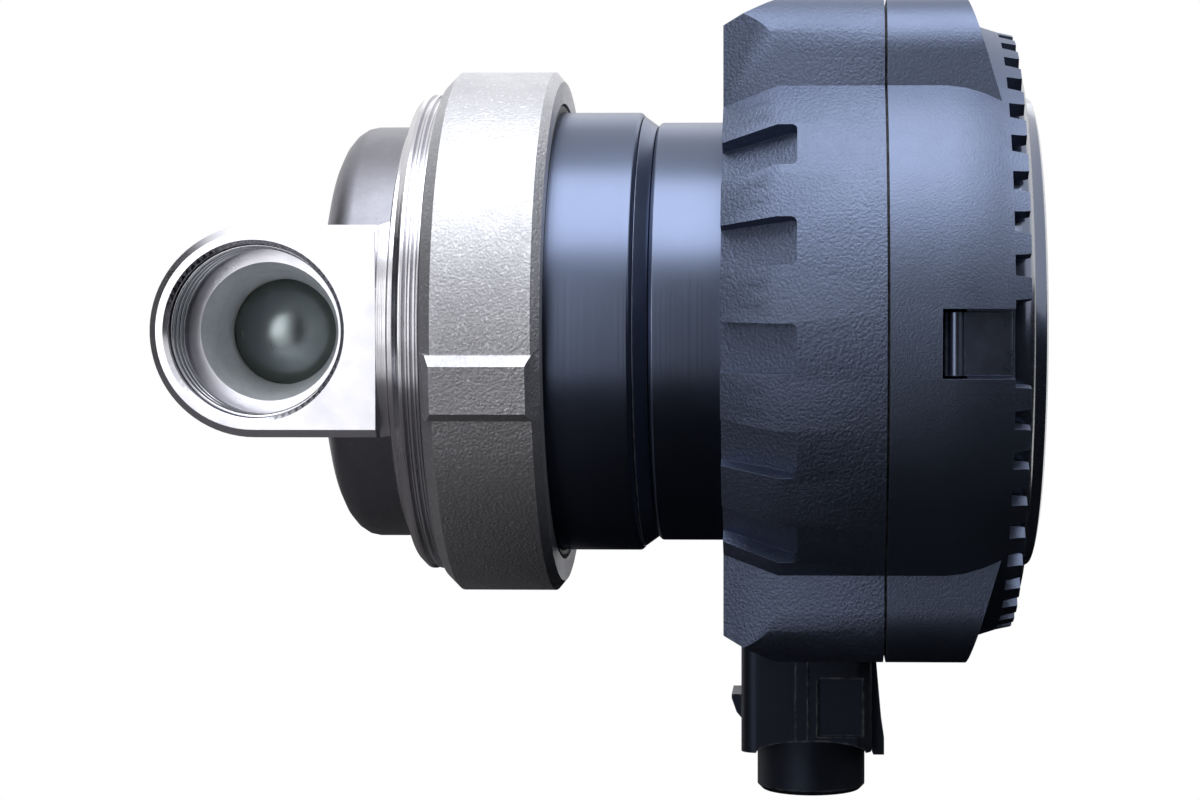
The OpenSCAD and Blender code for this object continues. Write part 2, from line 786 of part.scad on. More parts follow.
module cup_form() {
  corner = cup_corner_r;
  round_x = cup_front_x + cup_dish + cup_corner_l;
  g = flange_groove;
  step = flange_t / 6;
  band_r = cup_r + cup_band_h;
  difference() {
    turned(concat(
      [[0, cup_front_x], [cup_r - corner, cup_front_x + cup_dish]],
      [for (a = [-75:15:0]) [cup_r - corner + corner * cos(a), round_x + cup_corner_l * sin(a)]],
      [
        [cup_r, cup_band_x - band_edge], [band_r, cup_band_x], [band_r, cup_band_end_x],
        [flange_r - flange_edge, cup_band_end_x + band_edge], [flange_r, flange_x + step],
        [flange_r, flange_x + 2 * step], [flange_r - g, flange_x + 2.4 * step],
        [flange_r - g, flange_x + 3 * step], [flange_r, flange_x + 3.4 * step],
        [flange_r, flange_x + 4 * step], [flange_r - g, flange_x + 4.4 * step],
        [flange_r - g, flange_x + 5 * step], [flange_r, flange_x + 5.4 * step],
        [flange_r, flange_end_x], [thread_r - relief_depth, flange_end_x],
        [thread_r - relief_depth, flange_end_x + relief_w],
        [thread_r, flange_end_x + relief_w + relief_slope],
        [thread_r, spigot_end_x - thread_edge], [thread_r - thread_edge, spigot_end_x],
        [0, spigot_end_x]
      ]
    ));
    // the port boss is milled flat through the cup's sides
    for (side = [-1, 1]) translate([0, side * (pipe_y + boss_r / 2), 0])
      cube([boss_end_x * 2, boss_r, boss_r * 2], center = true);
  }
}

module chamber_hollow() {
  intersection() {
    union() {
      sphere(chamber_r, $fn = 96);
      bar(chamber_r, 0, gland_x + eps);
    }
    translate([-chamber_r - cut, -chamber_y, -chamber_r - cut])
      cube([chamber_r + gland_x + 2 * cut, chamber_y * 2, (chamber_r + cut) * 2]);
  }
  for (side = [0, 180]) rotate([90, 0, side]) cylinder(r = seat_r + fit_gap, h = seat_back_y, $fn = 96);
}

module valve_body() color("silver") at_valve() {
  difference() {
    union() {
      boss_form();
      cup_form();
    }
    port_hollow();
    rotate([0, 0, 180]) port_hollow();
    chamber_hollow();
    turned([
      [0, gland_bore_start_x], [gland_r + fit_gap, gland_bore_start_x], [gland_r + fit_gap, gland_seat_x],
      [gland_pocket_r, gland_seat_x], [gland_pocket_r, nose_pocket_x], [nose_pocket_r, nose_pocket_x],
      [nose_pocket_r, spigot_end_x + cut], [0, spigot_end_x + cut]
    ]);
  }
}

// A seat ring against the ball, on the side given by the turn about X
module seat_ring(turn) {
  rotate([turn, 0, 0]) difference() {
    rotate([-90, 0, 0]) translate([0, 0, -seat_back_y]) rotate_extrude($fn = 96)
      polygon([[way_r, 0], [seat_r, 0], [seat_r, seat_l], [way_r, seat_l]]);
    sphere(ball_r + run_gap, $fn = 96);
  }
}

module front_seat_ring() color("ivory") at_valve() seat_ring(0);

module rear_seat_ring() color("ivory") at_valve() seat_ring(180);

// The valve is shut at rest, so the ball's bore lies across the pipe
module valve_ball() color("gainsboro") at_valve() {
  difference() {
    sphere(ball_r, $fn = 96);
    cylinder(r = way_r, h = ball_r * 3, center = true, $fn = 96);
    translate([ball_flat_x, -ball_r, -ball_r]) cube(ball_r * 2);
    translate([ball_slot_x, -ball_r, -ball_slot_w / 2]) cube([ball_r, ball_r * 2, ball_slot_w]);
  }
}

module valve_stem() color("darkgray") at_valve() {
  blade = ball_slot_w - 2 * fit_gap;
  g = stem_r - stem_groove;
  w = stem_groove_w;
  difference() {
    union() {
      translate([ball_slot_x + fit_gap, -blade_reach, -blade / 2])
        cube([stem_shoulder_x - ball_slot_x + stem_edge, 2 * blade_reach, blade]);
      turned([
        [0, stem_shoulder_x], [stem_shoulder_r - stem_edge, stem_shoulder_x],
        [stem_shoulder_r, stem_shoulder_x + stem_edge],
        [stem_shoulder_r, stem_shoulder_x + stem_shoulder_t],
        [stem_r, stem_shoulder_x + stem_shoulder_t],
        [stem_r, stem_groove_x[0]], [g, stem_groove_x[0]],
        [g, stem_groove_x[0] + w], [stem_r, stem_groove_x[0] + w],
        [stem_r, stem_groove_x[1]], [g, stem_groove_x[1]],
        [g, stem_groove_x[1] + w], [stem_r, stem_groove_x[1] + w],
        [stem_r, stem_end_x - stem_edge], [stem_r - stem_edge, stem_end_x], [0, stem_end_x]
      ]);
    }
    for (side = [-1, 1]) translate([output_x - stem_edge, side * (stem_flat + stem_r) - stem_r, -stem_r])
      cube([stem_drive_l + cut, 2 * stem_r, 2 * stem_r]);
  }
}

module stem_seals() color("black") at_valve() {
  for (x = stem_groove_x)
    o_ring(stem_r - stem_groove / 2, x + stem_groove_w / 2, stem_groove);
}

module stem_washer() color("ivory") at_valve()
  bar(stem_shoulder_r, stem_washer_x, gland_x, stem_r + fit_gap * 2);

module stem_gland() color("goldenrod") at_valve() {
  g = gland_r - gland_groove;
  difference() {
    turned([
      [stem_r + run_gap, gland_x], [gland_r - gland_edge, gland_x], [gland_r, gland_x + gland_edge],
      [gland_r, gland_groove_x], [g, gland_groove_x],
      [g, gland_groove_x + gland_groove_w], [gland_r, gland_groove_x + gland_groove_w],
      [gland_r, gland_seat_x], [gland_flange_r, gland_seat_x],
      [gland_flange_r, gland_end_x - gland_edge], [gland_flange_r - gland_edge, gland_end_x],
      [stem_r + run_gap, gland_end_x]
    ]);
    spread([45:90:315], (gland_flange_r + stem_r) / 2)
      bar(gland_hole_r, gland_end_x - gland_hole_depth, gland_end_x + cut);
  }
}

module gland_seal() color("black") at_valve()
  o_ring(gland_r - gland_groove / 2, gland_groove_x + gland_groove_w / 2, gland_groove);

// One spanner lug with sloping sides and ends, drawn on the nut's outer face
module nut_lug() {
  half = nut_lug_w / 2;
  intersection() {
    rotate([90, 0, 90]) linear_extrude(nut_l)
      polygon([
        [-half, -lug_sink], [-half, 0], [lug_slope - half, nut_lug_h],
        [half - lug_slope, nut_lug_h], [half, 0], [half, -lug_sink]
      ]);
    rotate([90, 0, 0]) linear_extrude(nut_lug_w + 2 * cut, center = true)
      polygon([
        [lug_edge, -lug_sink], [lug_edge, -nut_chamfer], [nut_chamfer, nut_lug_h],
        [nut_l - nut_bevel_l - lug_slope / 2, nut_lug_h],
        [nut_l - lug_edge, -nut_bevel_h], [nut_l - lug_edge, -lug_sink]
      ]);
  }
}

module union_nut() color("lightgray") at_valve() {
  c = nut_chamfer;
  ring_bore_r = dust_ring_r + fit_gap * 2;
  union() {
    turned([
      [nut_bore_r + thread_edge, nut_x], [nut_r - c, nut_x], [nut_r, nut_x + c],
      [nut_r, nut_end_x - nut_bevel_l], [nut_bevel_r, nut_end_x],
      [ring_bore_r, nut_end_x], [ring_bore_r, nut_lip_end_x], [nut_lip_r, nut_lip_end_x],
      [nut_lip_r, nut_lip_x], [nut_bore_r, nut_lip_x], [nut_bore_r, nut_x + thread_edge]
    ]);
    for (i = [0:nut_lugs - 1]) around(i * 360 / nut_lugs - nut_lug_angle, nut_r, nut_x) nut_lug();
  }
}

module face_gasket() color("dimgray") at_valve()
  bar(thread_r - thread_edge, spigot_end_x, collar_x, nose_pocket_r);

module dust_ring() color("black") at_valve()
  turned([
    [neck_r, dust_ring_x], [dust_ring_r, dust_ring_x], [dust_ring_r, dust_ring_end_x - neck_edge],
    [dust_ring_r - neck_edge, dust_ring_end_x], [neck_r, dust_ring_end_x]
  ]);

// The ring in the neck's groove, sloping from the neck's front part to its rear part
module neck_ring() color("black") at_valve()
  turned([
    [neck_groove_r, neck_groove_x + fit_gap], [neck_r - neck_ring_sink, neck_groove_x + fit_gap],
    [neck_rear_r - neck_ring_sink, neck_rear_x - fit_gap], [neck_groove_r, neck_rear_x - fit_gap]
  ]);

module nose_seal() color("black") at_valve()
  o_ring(nose_r - nose_seal_t / 2 + fit_gap, nose_groove_x + nose_seal_t / 2, nose_seal_t);

// -------------------------------------------------------------------- neck

module neck_housing() color([0.07, 0.07, 0.08]) at_valve() {
  g = nose_seal_t - fit_gap;
  difference() {
    union() {
      turned([
        [0, nose_x], [nose_r - nose_edge, nose_x], [nose_r, nose_x + nose_edge], [nose_r, nose_groove_x],
        [nose_r - g, nose_groove_x], [nose_r - g, nose_groove_x + nose_seal_t],
        [nose_r, nose_groove_x + nose_seal_t], [nose_r, collar_x], [collar_r, collar_x],
        [collar_r, collar_end_x], [neck_r, collar_end_x], [neck_r, neck_groove_x - neck_edge],
        [neck_r - neck_edge, neck_groove_x], [neck_groove_r, neck_groove_x],
        [neck_groove_r, neck_rear_x], [neck_rear_r - neck_edge, neck_rear_x],
        [neck_rear_r, neck_rear_x + neck_edge], [neck_rear_r, chassis_x],
        [chassis_r, chassis_x], [chassis_r, chassis_end_x], [0, chassis_end_x]
      ]);
      spread(post_angles, post_circle_r) bar(post_r, chassis_x, board_x);
    }
    bar(neck_bore_r, neck_floor_x, chassis_end_x + cut);
    bar(bush_r, nose_x - cut, neck_floor_x + cut);
    spread(post_angles, post_circle_r) bar(small_screw_r, board_x - board_screw_bite - cut, board_x + cut);
    spread(flange_screw_angles, flange_screw_circle_r)
      bar(small_screw_r + fit_gap * 2, chassis_x - cut, chassis_end_x + cut);
  }
}

module neck_screws() color("slategray") at_valve()
  spread(flange_screw_angles, flange_screw_circle_r)
    screw(small_screw_r, chassis_x - flange_screw_bite, chassis_end_x, small_head_r, small_head_t);

module output_bush() color("peru") at_valve()
  turned([
    [output_r + run_gap, nose_x], [bush_r, nose_x], [bush_r, neck_floor_x],
    [bush_flange_r, neck_floor_x], [bush_flange_r, neck_floor_x + bush_flange_t],
    [output_r + run_gap, neck_floor_x + bush_flange_t]
  ]);

// --------------------------------------------------------------- gear train

module output_carrier() color("slategray") at_valve() {
  difference() {
    turned([
      [0, output_x], [output_r - stem_edge, output_x], [output_r, output_x + stem_edge],
      [output_r, output_plate_x], [carrier_r, output_plate_x], [carrier_r, output_plate_end_x],
      [pilot_r, output_plate_end_x], [pilot_r, output_plate_end_x + pilot_l],
      [0, output_plate_end_x + pilot_l]
    ]);
    // drive socket for the stem's flattened end
    intersection() {
      bar(stem_r + fit_gap, output_x - cut, stem_end_x + end_gap);
      translate([output_x - 2 * cut, -stem_flat - fit_gap, -2 * stem_r])
        cube([stem_drive_l + 4 * cut, 2 * (stem_flat + fit_gap), 4 * stem_r]);
    }
    spread([0:pitch_angle:359], carrier_pin_r)
      bar(planet_pin_r, output_plate_x - cut, output_plate_end_x + cut);
  }
}

module planet_pins(plate_x) {
  spread([0:pitch_angle:359], carrier_pin_r)
    bar(planet_pin_r, plate_x, plate_x + carrier_t + planet_pin_l);
}

module output_planet_pins() color("lightsteelblue") at_valve() planet_pins(output_plate_x);

module input_planet_pins() color("lightsteelblue") at_valve() planet_pins(input_plate_x);

// One planet gear of a stage, with the space between two teeth towards the sun
module planet_gear(i, x) {
  rotate([i * pitch_angle, 0, 0]) translate([0, carrier_pin_r, 0])
    gear(planet_teeth, x, planet_w, planet_pin_r + run_gap);
}

module output_planet_1() color("tan") at_valve() planet_gear(0, output_planet_x);

module output_planet_2() color("tan") at_valve() planet_gear(1, output_planet_x);

module output_planet_3() color("tan") at_valve() planet_gear(2, output_planet_x);

module input_planet_1() color("wheat") at_valve() planet_gear(0, input_planet_x);

module input_planet_2() color("wheat") at_valve() planet_gear(1, input_planet_x);

module input_planet_3() color("wheat") at_valve() planet_gear(2, input_planet_x);

module ring_gear() color("gray") at_valve() {
  difference() {
    bar(neck_bore_r, ring_gear_x, ring_gear_end_x);
    translate([ring_gear_x - cut, 0, 0]) rotate([90, 0, 90])
      linear_extrude(ring_gear_end_x - ring_gear_x + 2 * cut)
        polygon(gear_points(ring_teeth, tooth_foot_share, ring_top_share, -flank_gap));
  }
}

module input_carrier() color("slategray") at_valve() {
  difference() {
    union() {
      gear(sun_teeth, input_sun_x, input_plate_x - input_sun_x, pilot_r + run_gap);
      bar(sun_pitch_r - tooth_foot_share * gear_m, input_plate_x - hub_t, input_plate_x, pilot_r + run_gap);
      bar(carrier_r, input_plate_x, input_plate_end_x);
    }
    spread([0:pitch_angle:359], carrier_pin_r)
      bar(planet_pin_r, input_plate_x - cut, input_plate_end_x + cut);
  }
}

module gear_cover_plate() color("darkgray") at_valve() {
  difference() {
    bar(neck_bore_r, ring_gear_end_x, cover_plate_end_x, motor_bush_r + plate_bore_gap);
    spread([0:120:359], motor_screw_circle_r)
      bar(small_screw_r + fit_gap * 2, ring_gear_end_x - cut, cover_plate_end_x + cut);
    spread([0:120:359], motor_screw_circle_r)
      bar(small_head_r + fit_gap * 2, ring_gear_end_x - cut, ring_gear_end_x + sunk_head_t);
  }
}

// ------------------------------------------------------------------- motor

module motor_can() color("lightslategray") at_valve() {
  difference() {
    bar(can_r, can_x, can_end_x);
    bar(can_r - can_wall, can_x + can_floor_t, can_end_x + cut);
    bar(motor_bush_r, can_x - cut, can_x + can_floor_t + cut);
    spread([0:120:359], motor_screw_circle_r) bar(small_screw_r, can_x - cut, can_x + can_floor_t + cut);
  }
}

module motor_end_cap() color("dimgray") at_valve() {
  difference() {
    bar(can_r, can_end_x, cap_end_x);
    bar(motor_bush_r, can_end_x - cut, cap_end_x + cut);
    spread([30:120:359], terminal_circle_r) bar(terminal_r * 2, can_end_x - cut, cap_end_x + cut);
  }
}

module motor_bushes() color("peru") at_valve() {
  bar(motor_bush_r, can_x - bush_over, can_x + can_floor_t + bush_inside, shaft_r + run_gap);
  bar(motor_bush_r, can_end_x - bush_over, cap_end_x, shaft_r + run_gap);
}

module motor_screws() color("slategray") at_valve()
  spread([0:120:359], motor_screw_circle_r)
    mirror([1, 0, 0]) translate([-2 * ring_gear_end_x, 0, 0])
      screw(small_screw_r, ring_gear_end_x - motor_screw_l + sunk_head_t,
        ring_gear_end_x - sunk_head_t, small_head_r, sunk_head_t - 2 * fit_gap);

module stator_core() color("gray") at_valve() {
  step = 360 / coils;
  difference() {
    bar(stator_r, stack_x, stack_end_x, stator_bore_r);
    // the hollow for the coils, with the teeth left standing
    difference() {
      bar(stator_r - back_iron, stack_x - cut, stack_end_x + cut, stator_bore_r + tooth_tip_t);
      for (i = [0:coils - 1]) rotate([(i + 0.5) * step, 0, 0])
        translate([stack_x - 2 * cut, 0, -tooth_w / 2]) cube([stack_l + 4 * cut, stator_r, tooth_w]);
    }
    // the slots between the teeth's tips
    for (i = [0:coils - 1]) rotate([i * step, 0, 0])
      translate([stack_x - cut, stator_bore_r - cut, -slot_w / 2])
        cube([stack_l + 2 * cut, tooth_tip_t + 2 * cut, slot_w]);
  }
}

module stator_coils() color("orangered") at_valve() {
  for (i = [0:coils - 1]) rotate([(i + 0.5) * 360 / coils, 0, 0]) difference() {
    translate([stack_x - coil_over, coil_r, -coil_w / 2])
      cube([stack_l + 2 * coil_over, coil_end_r - coil_r, coil_w]);
    translate([stack_x, coil_r - cut, -tooth_w / 2]) cube([stack_l, coil_end_r, tooth_w]);
  }
}

module coil_terminals() color("gold") at_valve()
  spread([30:120:359], terminal_circle_r)
    bar(terminal_r, stack_end_x + coil_over, board_back_x + pin_stick_out);

module motor_shaft() color("lightsteelblue") at_valve()
  turned([
    [0, pinion_x], [shaft_r - stem_edge, pinion_x], [shaft_r, pinion_x + stem_edge],
    [shaft_r, encoder_x], [0, encoder_x]
  ]);

module rotor_magnet() color("dimgray") at_valve()
  bar(rotor_r, stack_x - rotor_over, stack_end_x + rotor_over, shaft_r);

module motor_pinion() color("khaki") at_valve() gear(sun_teeth, pinion_x, pinion_l, shaft_r);

module encoder_magnet() color("dimgray") at_valve() bar(encoder_r, encoder_x, encoder_end_x);

// -------------------------------------------------------------------- board

module circuit_board() color("seagreen") at_valve() {
  difference() {
    bar(board_r, board_x, board_back_x);
    spread(post_angles, post_circle_r) bar(small_screw_r + fit_gap * 2, board_x - cut, board_back_x + cut);
    spread([30:120:359], terminal_circle_r) bar(terminal_r + fit_gap, board_x - cut, board_back_x + cut);
    for (i = [0, 1], y = contact_rows) translate([0, y, -contact_z(i)])
      bar(contact_hole_r, board_x - cut, board_back_x + cut);
  }
}

module board_chips() color([0.1, 0.1, 0.1]) at_valve() {
  translate([board_x - hall_t, -hall_w / 2, -hall_w / 2]) cube([hall_t, hall_w, hall_w]);
  for (c = chips) translate([board_back_x, c[0], c[1]]) cube([c[4], c[2], c[3]]);
}

module board_capacitors() color("midnightblue") at_valve() {
  for (i = [-1:1]) translate([0, i * capacitor_pitch, capacitor_z]) turned([
    [0, board_back_x], [capacitor_r, board_back_x],
    [capacitor_r, board_back_x + capacitor_h - capacitor_edge],
    [capacitor_r - capacitor_edge, board_back_x + capacitor_h], [0, board_back_x + capacitor_h]
  ]);
}

module board_screws() color("slategray") at_valve()
  spread(post_angles, post_circle_r)
    screw(small_screw_r, board_x - board_screw_bite, board_back_x, small_head_r, small_head_t);

// ---------------------------------------------------------------- connector

// Height below the axis at which a row of contact pins runs to the board
function contact_z(i) = contact_level + i * contact_step;

// Four bent pins, from the socket up into the head and back to the board
module contact_pins() color("gold") at_valve() {
  t = contact_t;
  for (i = [0, 1], y = contact_rows) {
    x = plug_x + contact_rows[1 - i];
    z = contact_z(1 - i);
    translate([x - t / 2, y - t / 2, -contact_tip]) cube([t, t, contact_tip - z + t / 2]);
    translate([x - t / 2, y - t / 2, -z - t / 2]) cube([board_back_x + pin_stick_out - x, t, t]);
  }
}

// The sleeve's outline across the connector's axis, in [X, Y]
module sleeve_outline(grow) {
  r = sleeve_corner_r;
  w = sleeve_w + 2 * grow;
  d = sleeve_d + 2 * grow;
  for (sx = [-1, 1], sy = [-1, 1]) translate([sx * (w / 2 - r), sy * (d / 2 - r)]) circle(r, $fn = 32);
  square([w - 2 * r, d], center = true);
  square([w, d - 2 * r], center = true);
}

module connector_shell() color([0.06, 0.06, 0.06]) at_valve() {
  left = sleeve_x - sleeve_w / 2;
  right = sleeve_x + sleeve_w / 2;
  ridge_top = -lobe_half_h - plug_seal_t - end_gap;
  difference() {
    union() {
      // sleeve, and the part of it that passes into the head
      difference() {
        union() {
          translate([sleeve_x, 0, -sleeve_bottom])
            linear_extrude(sleeve_bottom - lobe_inner_h + plug_flange_t) sleeve_outline(0);
          translate([ridge_x, -sleeve_d / 2 - ridge_h, -sleeve_bottom])
            cube([ridge_w, sleeve_d + 2 * ridge_h, sleeve_bottom + ridge_top]);
        }
        // arch at the sleeve's bottom, around the round nose
        translate([plug_x, 0, -sleeve_bottom]) scale([1, 1, sleeve_arch_h / nose_pin_r])
          rotate([90, 0, 0]) cylinder(r = nose_pin_r, h = 2 * sleeve_d, center = true, $fn = 96);
      }
      // mounting flange inside the head
      translate([plug_flange_x, -sleeve_d / 2 - plug_flange_lap, -lobe_inner_h])
        cube([seal_x - end_gap - plug_flange_x, sleeve_d + 2 * plug_flange_lap, plug_flange_t]);
      // round nose for the mating plug
      rotate([180, 0, 0]) translate([plug_x, 0, sleeve_bottom - nose_pin_root]) rotate_extrude($fn = 96)
        polygon([
          [0, 0], [nose_pin_r + nose_shoulder, 0], [nose_pin_r, nose_shoulder_l],
          [nose_pin_r, nose_pin_root + nose_pin_l - nose_pin_edge],
          [nose_pin_r - nose_pin_edge, nose_pin_root + nose_pin_l], [0, nose_pin_root + nose_pin_l]
        ]);
      // latch rib on the side towards the valve
      translate([left, -rib_w / 2, -rib_level]) rotate([90, 0, 0]) mirror([0, 0, 1]) linear_extrude(rib_w)
        polygon([[eps, 0], [-rib_t / 2, rib_h / 4], [-rib_t, rib_h * 5 / 6], [-rib_t, rib_h], [eps, rib_h]]);
      // flared lever on the side towards the rear cover
      translate([right, -lever_w / 2, -sleeve_bottom - lever_over]) rotate([90, 0, 0]) mirror([0, 0, 1])
        linear_extrude(lever_w) polygon([
          [-eps, lever_over], [lever_edge, 0], [lever_t, 0],
          [lever_t, lever_pad_h], [lever_neck_t, lever_neck_h],
          [lever_root_t, lever_h], [-eps, lever_h]
        ]);
    }
    // socket, and four holes that hold the contact pins
    rotate([180, 0, 0]) translate([plug_x, 0, nose_bottom - socket_depth])
      cylinder(r = nose_pin_r - nose_pin_wall, h = socket_depth + cut, $fn = 96);
    for (x = contact_rows, y = contact_rows)
      translate([plug_x + x - contact_t / 2, y - contact_t / 2, -nose_bottom])
        cube([contact_t, contact_t, nose_bottom]);
    // the sleeve's corner clears the front shell's front wall
    translate([0, -sleeve_d, -lobe_inner_h - eps])
      cube([plug_flange_x, 2 * sleeve_d, lobe_inner_h]);
    // recessed panels on the sleeve's faces
    for (side = [-1, 1]) translate([panel_x, side * (sleeve_d / 2 - panel_depth + cut) - cut, -panel_level])
      cube([panel_w, 2 * cut, panel_h]);
  }
}

module connector_seal() color("black") at_valve()
  translate([sleeve_x, 0, -lobe_half_h - plug_seal_t]) linear_extrude(plug_seal_t) difference() {
    intersection() {
      sleeve_outline(plug_seal_t);
      // it stays on the flat of the lobe, behind the cone
      translate([head_x + cone_l + fit_gap * 4 - sleeve_x, -sleeve_d]) square(sleeve_d * 2);
    }
    sleeve_outline(0);
  }

// --------------------------------------------------------------------- head

// One notch in the front cone, drawn at the near side
module notch_form() {
  x1 = head_x - cut;
  x2 = head_x + notch_l;
  r = notch_corner_r;
  floor1 = front_r - notch_depth - notch_lead;
  floor2 = barrel_r - notch_depth;
  intersection() {
    rotate([90, 0, 0]) linear_extrude(barrel_r * 2) union() {
      translate([x1, -notch_w / 2]) square([x2 - r - x1, notch_w]);
      translate([x1, -notch_w / 2 + r]) square([x2 - x1, notch_w - 2 * r]);
      for (s = [-1, 1]) translate([x2 - r, s * (notch_w / 2 - r)]) circle(r, $fn = 32);
    }
    translate([0, 0, -notch_w]) linear_extrude(2 * notch_w)
      polygon([[x1, -floor1], [head_x, -floor1], [x2, -floor2], [x2, -2 * barrel_r], [x1, -2 * barrel_r]]);
  }
}

module front_shell() color([0.09, 0.09, 0.1]) at_valve() {
  difference() {
    intersection() {
      head_form();
      along(head_x - cut, seal_x) square(barrel_r * 4, center = true);
    }
    head_hollow(chassis_x, notch_wall_x, chassis_r + end_gap);
    head_hollow(notch_wall_x - eps, seal_x + cut);
    bar(neck_rear_r + fit_gap, head_x - cut, chassis_x + cut);
    spread(flange_screw_angles, flange_screw_circle_r)
      bar(small_screw_r, chassis_x - flange_screw_bite, chassis_x + cut);
    shell_screw_holes(shell_screw_r, shell_screw_x, seal_x + cut);
    for (side = [0, 180], i = [-notch_reach:notch_reach])
      rotate([side == 0 ? notch_phase + i * notch_pitch : 180 - notch_phase + i * notch_pitch, 0, 0])
        notch_form();
    translate([sleeve_x, 0, -lobe_half_h - cut])
      linear_extrude(cut + shell_wall + cut) sleeve_outline(fit_gap);
  }
}

module shell_seal() color("black") at_valve() {
  difference() {
    along(seal_x, seal_end_x) head_outline(shell_seal_inset);
    head_hollow(seal_x - cut, seal_end_x + cut);
    shell_screw_holes(shell_screw_r + fit_gap * 2, seal_x - cut, seal_end_x + cut);
  }
}

// The rim's teeth: a ring cut into blocks, with none beside the two windows
module rim_teeth_ring() {
  step = (180 - 2 * rim_first_angle) / (rim_teeth - 1);
  tooth = rim_r * sin(step * rim_tooth_share);
  intersection() {
    turned([
      [rim_r - rim_tooth_t, rim_x - cut], [rim_r, rim_x - cut], [rim_r, rim_x],
      [rim_r - rim_edge, rim_end_x], [rim_r - rim_tooth_t, rim_end_x]
    ]);
    for (side = [1, -1], i = [0:rim_teeth - 1]) {
      start = side * rim_first_angle - window_turn;
      end = side * (180 - rim_first_angle) + window_turn;
      around(start + (end - start) * i / (rim_teeth - 1), rim_r, rim_x)
        linear_extrude(rim_tooth_t * 3, center = true) polygon([
          [-cut, -tooth / 2], [0, -tooth / 2], [rim_tooth_l - rim_edge, rim_taper - tooth / 2],
          [rim_tooth_l + cut, rim_taper + rim_edge - tooth / 2],
          [rim_tooth_l + cut, tooth / 2 - rim_taper - rim_edge],
          [rim_tooth_l - rim_edge, tooth / 2 - rim_taper], [0, tooth / 2], [-cut, tooth / 2]
        ]);
    }
  }
}

module rear_shell() color([0.08, 0.08, 0.09]) at_valve() {
  difference() {
    union() {
      intersection() {
        head_form();
        along(seal_end_x, rim_x) square(barrel_r * 4, center = true);
      }
      rim_teeth_ring();
    }
    head_hollow(seal_end_x - cut, rear_inner_end_x);
    bar(cover_r + fit_gap, rear_inner_end_x - cut, rim_end_x + cut);
    shell_screw_holes(shell_screw_r + fit_gap * 2, seal_end_x - cut, rim_x);
    shell_screw_holes(shell_screw_head_r + fit_gap * 2, shell_screw_head_x, rim_end_x);
    for (side = [0, 180]) around(side, 0, 0) {
      drop = side == 0 ? -window_drop : window_drop;
      translate([window_x, drop - window_h / 2, window_floor_y]) cube([rim_x, window_h, barrel_r]);
      translate([0, drop, 0]) latch_tongue(fit_gap);
    }
  }
}

// The tongue of one latch, drawn with its outward direction along z
module latch_tongue(grow) {
  w = latch_w - 2 + 2 * grow;
  translate([latch_tongue_x - grow, -w / 2, latch_tongue_y - grow])
    cube([latch_tongue_w + 2 * grow, w, window_floor_y - latch_tongue_y + 2 * grow + eps]);
}

// The two latches that lock the rear cover, each in its window
module cover_latches() color([0.12, 0.12, 0.13]) at_valve() {
  for (side = [0, 180]) around(side, 0, 0) translate([0, side == 0 ? -window_drop : window_drop, 0]) {
    translate([0, latch_w / 2, window_floor_y]) rotate([90, 0, 0]) linear_extrude(latch_w) {
      translate([latch_x, 0]) square([latch_end_x - latch_x, latch_t]);
      intersection() {
        translate([bead_x, latch_t]) circle(latch_bead, $fn = 32);
        translate([latch_x, 0]) square([latch_end_x - latch_x, latch_t + latch_bead]);
      }
    }
    latch_tongue(0);
  }
}

module shell_screws() color("slategray") at_valve()
  for (sy = [-1, 1], sz = [-1, 1]) translate([0, sy * boss_y, sz * boss_z])
    screw(shell_screw_r, shell_screw_x, shell_screw_head_x, shell_screw_head_r, shell_screw_head_t);

module rear_cover() color([0.2, 0.2, 0.22]) at_valve() {
  inner = cover_r - cover_wall;
  difference() {
    turned([
      [inner, cover_x], [cover_r - cover_edge / 2, cover_x], [cover_r, cover_x + cover_edge / 2],
      [cover_r, cover_groove_x], [cover_r - cover_groove_depth, cover_groove_x],
      [cover_r - cover_groove_depth, cover_groove_x + cover_groove_w],
      [cover_r, cover_groove_x + cover_groove_w],
      [cover_r, cover_shoulder_x - cover_round],
      [cover_r - cover_round * 0.3, cover_shoulder_x - cover_round * 0.4],
      [cover_r - cover_round, cover_shoulder_x], [cover_disc_r + cover_edge, cover_shoulder_x],
      [cover_disc_r, cover_shoulder_x + cover_edge],
      [cover_disc_r - cover_edge, cover_end_x - cover_edge / 2],
      [cover_disc_r - cover_round, cover_end_x], [0, cover_end_x],
      [0, cover_end_x - cover_plate], [inner - cover_edge, cover_shoulder_x - cover_plate],
      [inner, cover_shoulder_x - cover_plate - cover_edge]
    ]);
    for (side = [0, 180]) around(side, 0, 0)
      translate([0, side == 0 ? -window_drop : window_drop, 0]) latch_tongue(fit_gap);
  }
}

module cover_seal() color("black") at_valve()
  o_ring(cover_r - cover_groove_depth / 2, cover_groove_x + cover_groove_w / 2, cover_groove_depth);

valve_body();
front_seat_ring();
rear_seat_ring();
valve_ball();
valve_stem();
stem_seals();
stem_washer();
stem_gland();
gland_seal();
union_nut();
face_gasket();
dust_ring();
nose_seal();
neck_housing();
neck_ring();
neck_screws();
output_bush();
output_carrier();
output_planet_pins();
output_planet_1();
output_planet_2();
output_planet_3();
ring_gear();
input_carrier();
input_planet_pins();
input_planet_1();
input_planet_2();
input_planet_3();
gear_cover_plate();
motor_can();
motor_end_cap();
motor_bushes();
motor_screws();
stator_core();
stator_coils();
coil_terminals();
motor_shaft();
rotor_magnet();
motor_pinion();
encoder_magnet();
circuit_board();
board_chips();
board_capacitors();
board_screws();
contact_pins();
connector_shell();
connector_seal();
front_shell();
shell_seal();
rear_shell();
shell_screws();
rear_cover();
cover_seal();
cover_latches();
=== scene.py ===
"""Looks, light and camera of the motorised ball valve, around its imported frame."""

